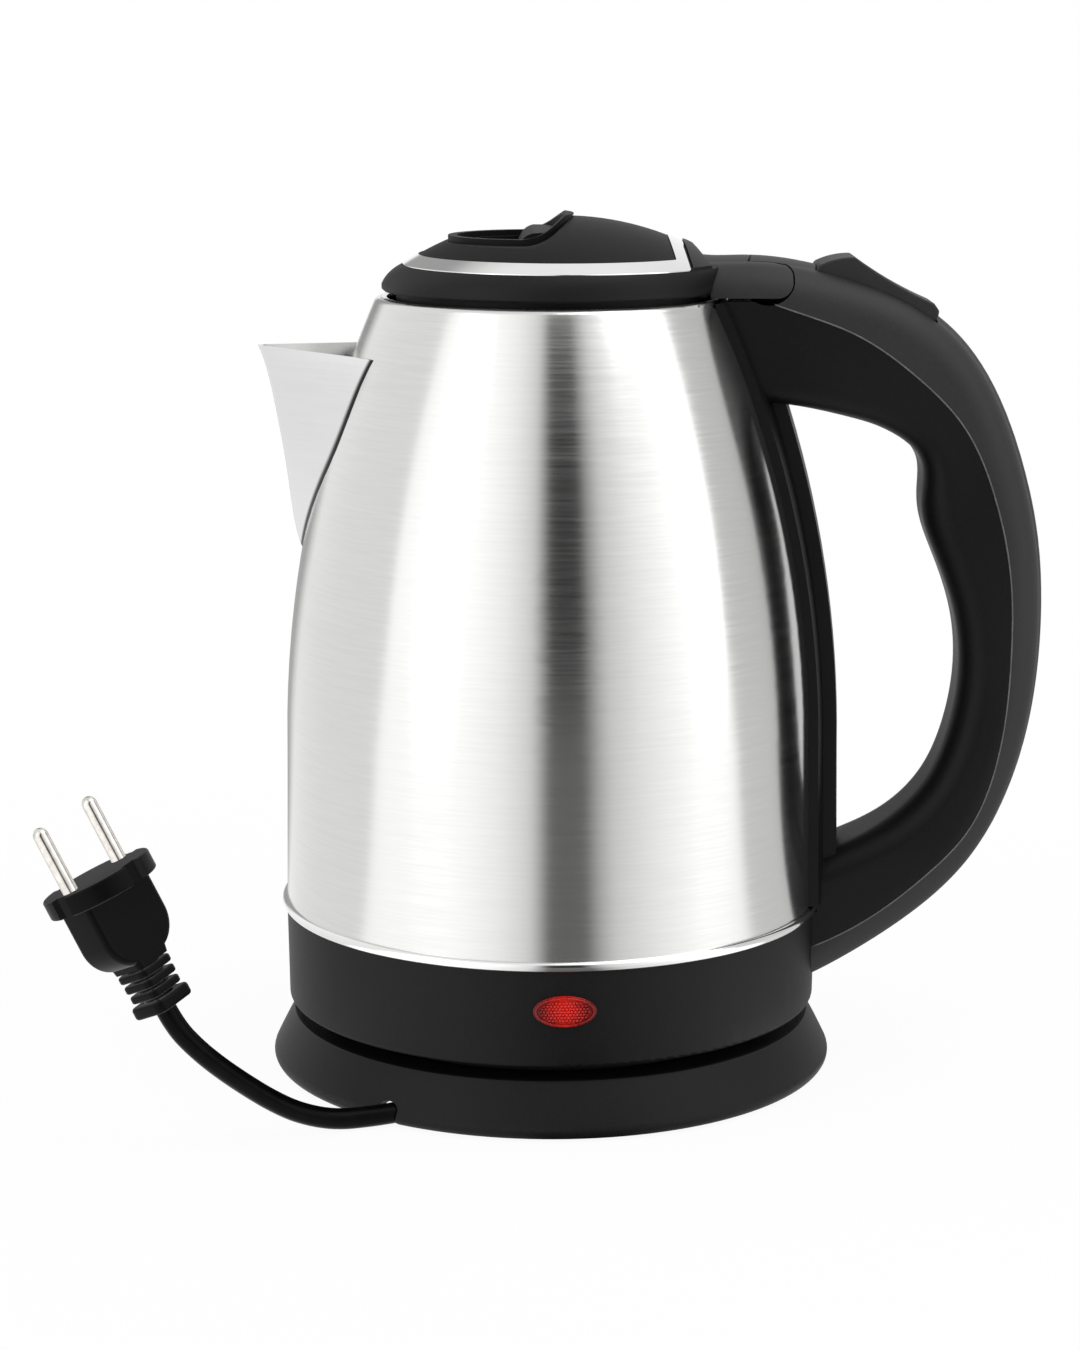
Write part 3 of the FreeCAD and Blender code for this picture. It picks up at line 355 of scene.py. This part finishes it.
def plainMesh(name, data, change=None):
    # the mesh that a passing object of this data shows, after the change to it; the object goes again
    holder = bpy.data.objects.new(name + "Holder", data)
    scene.collection.objects.link(holder)
    if change:
        change(holder)
    graph = bpy.context.evaluated_depsgraph_get()
    mesh = bpy.data.meshes.new_from_object(holder.evaluated_get(graph), depsgraph=graph)
    bpy.data.objects.remove(holder)
    mesh.name = name
    return mesh


def grown(name, seeds, sizes, build, look, scales=(), paths=()):
    # runs a small geometry-nodes tree on the seed points and returns its plain mesh
    tree = bpy.data.node_groups.new(name, "GeometryNodeTree")
    tree.interface.new_socket(name="Seeds", in_out="INPUT", socket_type="NodeSocketGeometry")
    for label in sizes:
        tree.interface.new_socket(name=label, in_out="INPUT", socket_type="NodeSocketFloat")
    tree.interface.new_socket(name="Grown", in_out="OUTPUT", socket_type="NodeSocketGeometry")
    entry, leave = tree.nodes.new("NodeGroupInput"), tree.nodes.new("NodeGroupOutput")
    result = build({socket.name: Wire(tree, socket) for socket in entry.outputs if socket.name})
    result = result.node("GeometryNodeRealizeInstances", None, {"Geometry": result})
    result = result.node("GeometryNodeSetMaterial", None, {"Geometry": result, "Material": looks[look]})
    tree.links.new(result.socket, leave.inputs["Grown"])
    seedMesh = bpy.data.meshes.new(name + "Seeds")
    seedMesh.from_pydata(seeds, paths, [])
    if scales:
        scaleOf = seedMesh.attributes.new("scale", "FLOAT_VECTOR", "POINT")
        for spot, size in zip(scaleOf.data, scales):
            spot.vector = size

    def addGrower(holder):
        grower = holder.modifiers.new("grow", "NODES")
        grower.node_group = tree
        for item in tree.interface.items_tree:
            if item.in_out == "INPUT" and item.name in sizes:
                grower[item.identifier] = float(sizes[item.name])

    return plainMesh(name, seedMesh, addGrower)


def tube(name, kind, places, radius, sides):
    # a round tube along one spline of this kind
    curve = bpy.data.curves.new(name, "CURVE")
    curve.dimensions = "3D"
    curve.bevel_depth, curve.bevel_resolution = radius, sides
    line = curve.splines.new(kind)
    line.points.add(len(places) - 1)
    for point, place in zip(line.points, places):
        point.co = (*place, 1)
    return curve, line


# mains cord: out of the gland, two turns in the store, then the free length to the plug; points in mm
cordRoute = {
    "gland": [(10.71, -16.54, 5.9), (15.54, -24.35, 5.9), (17.99, -30.69, 5.9)],
    "store": {"turns": 2, "perTurn": 16, "from": 285.0, "radius": 34.4, "growth": 6.4, "height": 5.9},
    "free": [(-7.14, -50.74, 5.9), (-14.86, -52.81, 5.9), (-26.0, -56.4, 5.0), (-38.0, -61.4, 3.4),
             (-47.5, -65.1, 3.0), (-57.0, -67.9, 3.0), (-65.8, -71.4, 6.0), (-72.6, -75.2, 10.7),
             (-79.0, -79.2, 16.4), (-85.0, -83.4, 22.4), (-90.6, -86.9, 28.6), (-95.8, -88.9, 35.2),
             (-98.476, -88.66, 40.565)],
    "diameter": 0.0056, "length": 0.668, "sides": 5, "steps": 8}


def cordPoints():
    store = cordRoute["store"]
    swell = 1 / (0.75 + 0.25 * math.cos(2 * math.pi / store["perTurn"]))  # the spline runs inside its points
    turns = []
    for step in range(1, store["turns"] * store["perTurn"] + 1):
        share = step / store["perTurn"]
        angle = math.radians(store["from"] - 360 * share)
        reach = (store["radius"] + store["growth"] * share) * swell
        turns.append((reach * math.cos(angle), reach * math.sin(angle), store["height"]))
    return [Vector(p) / 1000 for p in cordRoute["gland"] + turns + cordRoute["free"]]


route = cordPoints()
cordCurve, cordLine = tube("power_cord", "NURBS", route, cordRoute["diameter"] / 2, cordRoute["sides"])
cordLine.order_u = 3
cordLine.use_endpoint_u = True
cordLine.resolution_u = cordRoute["steps"]
cordCurve.use_fill_caps = True
cordCurve.materials.append(looks["cordSheath"])
cord = bpy.data.objects.new("power_cord", cordCurve)
scene.collection.objects.link(cord)
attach(cord, "base")
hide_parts("power_cord_winding", "power_cord_lead")
print("cord laid through", len(route), "points")

# the rest, node by node: look, slot, rounding in metres, and where given the angle that stays sharp
dress = {
    "base": [
        ("base_shell", "footBlack", "black_plastic", 0.0003),
        ("base_plate", "footBlack", "black_plastic", 0.0),
        ("base_socket", "switchGrey", "inner_plastic", 0.0),
        ("socket_contacts", "contactBrass", "brass", 0.0),
        ("base_feet", "softRubber", "soft_rubber", 0.0002),
        ("cord_gland", "softRubber", "soft_rubber", 0.0),
        ("plug_body", "plugBlack", "plug_plastic", 0.0003),
        ("plug_pins", "pinNickel", "nickel", 0.0)],
    "turntable": [
        ("socket_shutter", "switchGrey", "inner_plastic", 0.0)],
    "jug": [
        ("steel_body", "brushedSteel", "brushed_steel", 0.0),
        ("spout", "spoutSteel", "brushed_steel", 0.0),
        ("kettle_floor", "brushedSteel", "brushed_steel", 0.0),
        ("heat_spreader", "castAluminium", "aluminium", 0.0),
        ("heating_element", "castAluminium", "aluminium", 0.0),
        ("coupler", "switchGrey", "inner_plastic", 0.0),
        ("dry_boil_discs", "contactBrass", "brass", 0.0),
        ("bottom_skirt", "footBlack", "black_plastic", 0.00025),
        ("bottom_cover", "footBlack", "black_plastic", 0.0),
        ("indicator_lens", "lensRed", "red_lens", 0.0003),
        ("indicator_lamp", "lampGlass", "lamp_glass", 0.0),
        ("hinge_pin", "screwZinc", "screw_steel", 0.0),
        ("steam_switch", "switchGrey", "inner_plastic", 0.0),
        ("bimetal_disc", "contactBrass", "brass", 0.0),
        ("handle_outer", "shellBlack", "black_plastic", 0.0005),
        ("handle_inner", "handleBlack", "black_plastic", 0.0005)],
    "lid": [
        ("lid_rim", "grainedBlack", "black_plastic", 0.0003, 20.0),
        ("lid_hinge_arm", "shellBlack", "black_plastic", 0.0003),
        ("chrome_ring", "brightChrome", "chrome", 0.0002),
        ("lid_dome", "domeBlack", "black_plastic", 0.0003),
        ("well_bezel", "domeBlack", "black_plastic", 0.0004),
        ("lid_underside", "grainedBlack", "black_plastic", 0.0)],
    "rocker": [
        ("switch_rocker", "shellBlack", "black_plastic", 0.0004)]}
made = {}
for body, rows in dress.items():
    for node, look, slot, edge, *sharp in rows:
        made[node] = softened(node, body, look, slot, edge, *sharp)
print("pieces dressed:", len(made))

# the spout's lip flares outwards towards its top edge
lip = {"reach": 0.0031, "fade": 0.012, "cuts": 26, "least": 0.001}


def flareLip(mesh):
    spout = bmesh.new()
    spout.from_mesh(mesh)
    low, top = (pick(v.co.z for v in spout.verts) for pick in (min, max))
    for step in range(1, lip["cuts"]):
        level = low + (top - low) * step / lip["cuts"]
        whole = [*spout.verts, *spout.edges, *spout.faces]
        bmesh.ops.bisect_plane(spout, geom=whole, plane_co=(0, 0, level), plane_no=(0, 0, 1))
    outs = {v: math.hypot(v.co.x, v.co.y) - wallAt(v.co.z, math.sqrt) for v in spout.verts}
    furthest = max(outs.values())
    for v, out in outs.items():
        keel = max(furthest * (v.co.z - low) / (top - low), lip["least"])
        share = min(max(out / keel, 0), 1)  # none along the weld, all of it on the spout's keel
        v.co.x -= lip["reach"] * share * math.exp((v.co.z - top) / lip["fade"])
    spout.to_mesh(mesh)
    spout.free()


flareLip(made["spout"].data)
print("spout lip flared")

# parting line of the handle: a fine bead along the outer shell's edge, where it meets the inner shell, in a
# pale grey that paints a highlight along that edge
parting = {"touch": 0.0006, "facing": -0.7, "sharp": 30.0, "lift": 1e-4, "clear": 0.030, "sides": 8,
           "sizes": {"lineRadius": 0.00022}}


def partingEdges():
    shells = [merged(node) for node in ("handle_outer", "handle_inner")]
    walls = [BVHTree.FromBMesh(shell) for shell in shells]
    outer, innerWall = shells[0], walls[1]

    def meets(face):
        # whether the inner shell's wall presses on this face
        _, facing, _, gap = innerWall.find_nearest(face.calc_center_median())
        return gap < parting["touch"] and facing.dot(face.normal) < parting["facing"]

    def shows(face):
        # whether nothing of the handle stands in front of this face
        start = face.calc_center_median() + face.normal * parting["lift"]
        hits = [wall.ray_cast(start, face.normal, parting["clear"])[0] for wall in walls]
        return hits == [None, None]

    spots, lines = {}, []
    for line in outer.edges:
        if len(line.link_faces) == 2 and line.calc_face_angle() > math.radians(parting["sharp"]):
            first, second = line.link_faces
            if meets(first) != meets(second) and shows(second if meets(first) else first):
                lines.append([spots.setdefault(tuple(v.co), len(spots)) for v in line.verts])
    for shell in shells:
        shell.free()
    return list(spots), lines


def lineTree(given):
    start = given["Seeds"]
    path = start.node("GeometryNodeMeshToCurve", None, {"Mesh": start})
    circle = {"Resolution": parting["sides"], "Radius": given["lineRadius"]}
    section = start.node("GeometryNodeCurvePrimitiveCircle", None, circle)
    swept = {"Curve": path, "Profile Curve": section, "Fill Caps": True}
    return start.node("GeometryNodeCurveToMesh", None, swept).smoothed()


partingSpots, partingLines = partingEdges()
partingMesh = grown("handle_parting_line", partingSpots, parting["sizes"], lineTree, "partingGrey",
                    paths=partingLines)
placed("handle_parting_line", partingMesh, "jug", "partingGrey", "black_plastic")
print("parting line has", len(partingLines), "edges")

# bright bead round the foot of the steel body
bead = {"outer": 0.075, "low": 0.045, "high": 0.0478, "round": 0.0013, "cornerSteps": 6, "steps": 200,
        "sharp": 40.0}


def beadProfile():
    # radius and height round the section: a plain back, then two rounded corners in front
    inner = min(math.hypot(v.co.x, v.co.y) for v in cadNodes["bead_ring"].data.vertices)
    profile = [(inner, bead["high"]), (inner, bead["low"])]
    for start, height in ((-90, bead["low"] + bead["round"]), (0, bead["high"] - bead["round"])):
        for step in range(bead["cornerSteps"] + 1):
            angle = math.radians(start + 90 * step / bead["cornerSteps"])
            reach = bead["outer"] + bead["round"] * (math.cos(angle) - 1)
            profile.append((reach, height + bead["round"] * math.sin(angle)))
    return profile


def spun(name, profile, steps, sharp):
    # the mesh of a closed profile turned round Z
    turned = bmesh.new()
    rings = []
    for step in range(steps):
        angle = 2 * math.pi * step / steps
        rings.append([turned.verts.new((r * math.cos(angle), r * math.sin(angle), z)) for r, z in profile])
    for ring, following in zip(rings, rings[1:] + rings[:1]):
        for spot in range(len(profile)):
            corners = (ring[spot - 1], following[spot - 1], following[spot], ring[spot])
            turned.faces.new(corners).smooth = True
    bmesh.ops.recalc_face_normals(turned, faces=turned.faces)
    for line in turned.edges:
        line.smooth = line.calc_face_angle() < math.radians(sharp)
    mesh = bpy.data.meshes.new(name)
    turned.to_mesh(mesh)
    turned.free()
    return mesh


beadMesh = spun("bead_ring_piece", beadProfile(), bead["steps"], bead["sharp"])
made["bead_ring"] = placed("bead_ring_piece", beadMesh, "jug", "brightChrome", "chrome", "bead_ring")
print("bead ring spun")

# ribbed boot behind the plug, standing on Z and then laid along the plug
# each rib is its height and its scale, where 1 is 11.2 by 10.6 by 2 mm
boot = {"foot": (-0.098476, -0.08866, 0.040565), "axis": (-0.44606, 0.04, 0.89411), "turn": 54.0,
        "ribs": [(0.0016, (1.161, 1.151, 1.6)), (0.0051, (1.0, 1.0, 1.0)),
                 (0.0080, (1.027, 1.028, 1.0)), (0.0109, (1.054, 1.057, 1.0))],
        "cornerSteps": 8, "edgeSteps": 5, "coreSides": 40,
        "sizes": {"pathWidth": 0.0082, "pathDepth": 0.0076, "pathCorner": 0.0008,
                  "ribWall": 0.0030, "ribThick": 0.0020, "ribEdge": 0.00055,
                  "footRadius": 0.0039, "neckRadius": 0.0048, "length": 0.0125}}


def roundedQuad(start, width, height, corner, steps):
    quad = start.node("GeometryNodeCurvePrimitiveQuadrilateral", None, {"Width": width, "Height": height})
    values = {"Curve": quad, "Radius": corner, "Count": steps}
    return start.node("GeometryNodeFilletCurve", {"mode": "POLY"}, values)


def bootTree(given):
    start = given["Seeds"]
    ring = roundedQuad(start, given["pathWidth"], given["pathDepth"],
                       given["pathCorner"], boot["cornerSteps"])
    wall = roundedQuad(start, given["ribWall"], given["ribThick"],
                       given["ribEdge"], boot["edgeSteps"])
    rib = start.node("GeometryNodeCurveToMesh", None, {"Curve": ring, "Profile Curve": wall})
    size = start.node("GeometryNodeInputNamedAttribute", {"data_type": "FLOAT_VECTOR"}, {"Name": "scale"})
    ribs = start.node("GeometryNodeInstanceOnPoints", None, {"Points": start, "Instance": rib, "Scale": size})
    cone = {"Vertices": boot["coreSides"], "Radius Top": given["neckRadius"],
            "Radius Bottom": given["footRadius"], "Depth": given["length"]}
    core = start.node("GeometryNodeMeshCone", None, cone)
    return start.joined(ribs, core).smoothed()


ribPlaces = [(0, 0, height) for height, _ in boot["ribs"]]
ribScales = [scale for _, scale in boot["ribs"]]
bootMesh = grown("plug_boot_piece", ribPlaces, boot["sizes"], bootTree, "plugBlack", scales=ribScales)
laid = Vector((0, 0, 1)).rotation_difference(Vector(boot["axis"])).to_matrix().to_4x4()
turned = Matrix.Rotation(math.radians(boot["turn"]), 4, "Z")
bootMesh.transform(Matrix.Translation(boot["foot"]) @ laid @ turned)
made["plug_boot"] = placed("plug_boot_piece", bootMesh, "base", "plugBlack", "plug_plastic", "plug_boot")
print("boot grown with", len(ribPlaces), "ribs")

# pan-head screws, pointing up, on a circle round Z
panHead = {"headRadius": 0.003, "headDepth": 0.0018, "shaftRadius": 0.0016}
screws = {
    "base_screws": {"body": "base", "circle": 0.058, "angles": (60, 180, 300), "seat": 0.0089,
                    "sizes": {**panHead, "shaftLength": 0.0035}},
    "cover_screws": {"body": "jug", "circle": 0.040, "angles": (0, 120, 240), "seat": 0.0206,
                     "sizes": {**panHead, "shaftLength": 0.009}},
    "lid_screws": {"body": "lid", "circle": 0.0372, "angles": (90, 180, 270), "seat": 0.207,
                   "sizes": {"headRadius": 0.0025, "headDepth": 0.0014, "shaftRadius": 0.0013,
                             "shaftLength": 0.0104}}}
# cross in the head: length and width as shares of its radius, place of the cut as a share of its depth
screwForm = {"long": 1.2, "wide": 0.24, "sunk": 1.05, "headSides": 32, "shaftSides": 20}


def screwTree(given):
    start = given["Seeds"]

    def rod(sides, radius, depth):
        values = {"Vertices": sides, "Radius": radius, "Depth": depth}
        return start.node("GeometryNodeMeshCylinder", None, values)

    deep = given["headDepth"]
    head = rod(screwForm["headSides"], given["headRadius"], deep).moved(z=deep * -0.5)
    along, across = given["headRadius"] * screwForm["long"], given["headRadius"] * screwForm["wide"]
    for size in ((along, across, deep), (across, along, deep)):
        block = start.node("GeometryNodeMeshCube", None, {"Size": start.vector(*size)})
        values = {"Mesh 1": head, "Mesh 2": block.moved(z=deep * -screwForm["sunk"])}
        head = start.node("GeometryNodeMeshBoolean", {"operation": "DIFFERENCE"}, values)
    shaft = rod(screwForm["shaftSides"], given["shaftRadius"], given["shaftLength"])
    screw = start.joined(head, shaft.moved(z=given["shaftLength"] * 0.5))
    return start.node("GeometryNodeInstanceOnPoints", None, {"Points": start, "Instance": screw})


for node, row in screws.items():
    turns = [math.radians(angle) for angle in row["angles"]]
    seats = [(row["circle"] * math.cos(turn), row["circle"] * math.sin(turn), row["seat"]) for turn in turns]
    screwMesh = grown(node + "_piece", seats, row["sizes"], screwTree, "screwZinc")
    made[node] = placed(node + "_piece", screwMesh, row["body"], "screwZinc", "screw_steel", node)
print("screws grown in", len(screws), "sets")

# red lens: pebbles on its face and a raised line round its edge
lens = {"bearing": -87.4, "height": 0.0345, "reach": 0.0744, "across": 0.0136, "tall": 0.0062,
        "pitch": 0.0009, "rows": 6, "columns": 10, "sizes": {"pebbleRadius": 0.00042}, "pebbleCuts": 2,
        "rimAcross": 0.0152, "rimTall": 0.0074, "rimReach": 0.0746, "rimRound": 0.00032,
        "rimSteps": 64, "rimSides": 3}


def onLens(along, up, reach):
    angle = math.radians(lens["bearing"]) + along / reach
    return (reach * math.cos(angle), reach * math.sin(angle), lens["height"] + up)


def pebbleTree(given):
    start = given["Seeds"]
    values = {"Radius": given["pebbleRadius"], "Subdivisions": lens["pebbleCuts"]}
    ball = start.node("GeometryNodeMeshIcoSphere", None, values)
    return start.node("GeometryNodeInstanceOnPoints", None, {"Points": start, "Instance": ball}).smoothed()


pebbles = []
for row in range(-lens["rows"], lens["rows"] + 1):
    up = row * lens["pitch"] * math.sqrt(0.75)  # rows nest, each half a pitch along from the last
    for column in range(-lens["columns"], lens["columns"] + 1):
        along = (column + 0.5 * (row % 2)) * lens["pitch"]
        if (2 * along / lens["across"]) ** 2 + (2 * up / lens["tall"]) ** 2 < 1:
            pebbles.append(onLens(along, up, lens["reach"]))
pebbleMesh = grown("lens_pebbles", pebbles, lens["sizes"], pebbleTree, "lensRed")
placed("lens_pebbles", pebbleMesh, "jug", "lensRed", "red_lens")
rimPlaces = []
for step in range(lens["rimSteps"]):
    angle = 2 * math.pi * step / lens["rimSteps"]
    along, up = lens["rimAcross"] / 2 * math.cos(angle), lens["rimTall"] / 2 * math.sin(angle)
    rimPlaces.append(onLens(along, up, lens["rimReach"]))
rimCurve, rimLine = tube("lens_rim", "POLY", rimPlaces, lens["rimRound"], lens["rimSides"])
rimLine.use_cyclic_u = True
placed("lens_rim", plainMesh("lens_rim", rimCurve), "jug", "lensRed", "red_lens")
print("lens pebbles:", len(pebbles))

for piece in (cord, made["plug_boot"], made["plug_body"], made["plug_pins"]):
    piece.visible_glossy = False  # the photograph has no mirror image of the plug in the steel

# studio: tall soft panels round the object, by degrees from the camera's side, right positive
# ceiling, back and backTop are the parts of the sky that the overhead panel and the backdrop fade in over
panels = {"strength": 1.42, "overhead": 0.95, "ceiling": (0.62, 0.90),
          "back": (0.96, 0.99), "backTop": (0.1, 0.3),
          "levels": [(-180, 0.60), (-168, 0.26), (-152, 0.26), (-140, 0.74), (-110, 0.68), (-77, 0.66),
                     (-74, 1.0), (-34, 1.0), (-20, 0.84), (-8, 0.60), (-1, 0.02), (13, 0.02), (17.5, 0.27),
                     (24, 0.54), (40, 0.78), (58, 1.0), (79.5, 1.0), (82.5, 0.52), (120, 0.44), (150, 0.62),
                     (180, 0.74)]}


def panelLevel(x, y):
    # brightness of the panels in the direction x, y
    around = x.calc("ARCTAN2", x, y * -1.0) * (0.5 / math.pi) + 0.5
    stops = [((angle + 180) / 360, (level, level, level, 1)) for angle, level in panels["levels"]]
    return x.node("ShaderNodeValToRGB", {"stops": stops}, {"Fac": around}) * panels["strength"]


def rays(tree):
    paths = tree.nodes.new("ShaderNodeLightPath")
    kinds = ("Is Camera Ray", "Is Glossy Ray", "Is Transmission Ray")
    return [Wire(tree, paths.outputs[kind]) for kind in kinds]


# floor: keeps the object's shadow near it, and is plain white further out
ground = {"half": 3.0, "near": 0.94, "reach": (0.16, 0.6), "mirror": 0.85,
          "fixed": {"Base Color": (0.82, 0.82, 0.82, 1), "Roughness": 0.9, "Specular IOR Level": 0.1}}
half = ground["half"]
floorMesh = bpy.data.meshes.new("floor")
floorCorners = [(-half, -half, 0), (half, -half, 0), (half, half, 0), (-half, half, 0)]
floorMesh.from_pydata(floorCorners, [], [(0, 1, 2, 3)])
floor = bpy.data.objects.new("floor", floorMesh)
scene.collection.objects.link(floor)
floorLook = bpy.data.materials.new("paleFloor")
floorLook.use_nodes = True
floorTree = floorLook.node_tree
floorShader = floorTree.nodes["Principled BSDF"]
for key, value in ground["fixed"].items():
    floorShader.inputs[key].default_value = value
across, along, _ = Wire(floorTree, floorTree.nodes.new("ShaderNodeTexCoord").outputs["Object"]).axes()
seen, mirrored, through = rays(floorTree)
far = (across * across + along * along).root().between(*ground["reach"])
whiteShare = (seen + through) * far.above(ground["near"], 1 - ground["near"])
plain = Wire(floorTree, floorShader.outputs["BSDF"])
white = seen.node("ShaderNodeEmission", None, {"Strength": 1.0})
panelled = seen.node("ShaderNodeEmission", None, {"Color": panelLevel(across, along)})
shown = seen.node("ShaderNodeMixShader", None, {0: whiteShare, 1: plain, 2: white})
shown = seen.node("ShaderNodeMixShader", None, {0: mirrored * ground["mirror"], 1: shown, 2: panelled})
floorTree.links.new(shown.socket, floorTree.nodes["Material Output"].inputs["Surface"])
floorMesh.materials.append(floorLook)

# sky: the panels, and a white backdrop where the camera looks
world = bpy.data.worlds.new("studioWorld")
scene.world = world
world.use_nodes = True
sky = world.node_tree
east, north, up = Wire(sky, sky.nodes.new("ShaderNodeTexCoord").outputs["Generated"]).axes()
seen, mirrored, through = rays(sky)
high = up.between(*panels["ceiling"])
level = panelLevel(east, north) * (1 - high) + high * panels["overhead"]
behind = north.between(*panels["back"]) * (1 - up.between(*panels["backTop"]))
backdrop = seen + through + mirrored * behind
backdrop = backdrop.calc("MINIMUM", backdrop, 1.0)
level = backdrop + (1 - backdrop) * level
skyNode = sky.nodes["Background"]
skyNode.inputs["Color"].default_value = (1, 1, 1, 1)
sky.links.new(level.socket, skyNode.inputs["Strength"])

# soft lights, all aimed at the middle of the jug: place and size in metres, power in watts
aim = Vector((0, 0, 0.12))
softLights = {"left": {"place": (-1.15, -0.95, 0.62), "size": (0.55, 1.3), "power": 1.5},
              "right": {"place": (1.36, -0.47, 0.62), "size": (0.5, 1.3), "power": 1.5},
              "above": {"place": (0.62, -0.25, 1.4), "size": (1.1, 1.0), "power": 6.0}}
for name, row in softLights.items():
    lampData = bpy.data.lights.new(name + "Softbox", "AREA")
    lampData.shape = "RECTANGLE"
    lampData.size, lampData.size_y = row["size"]
    lampData.energy = row["power"]
    lamp = bpy.data.objects.new(name + "Softbox", lampData)
    lamp.location = row["place"]
    lamp.rotation_euler = (aim - Vector(row["place"])).to_track_quat("-Z", "Y").to_euler()
    scene.collection.objects.link(lamp)
print("studio lit by", len(softLights), "soft lights")
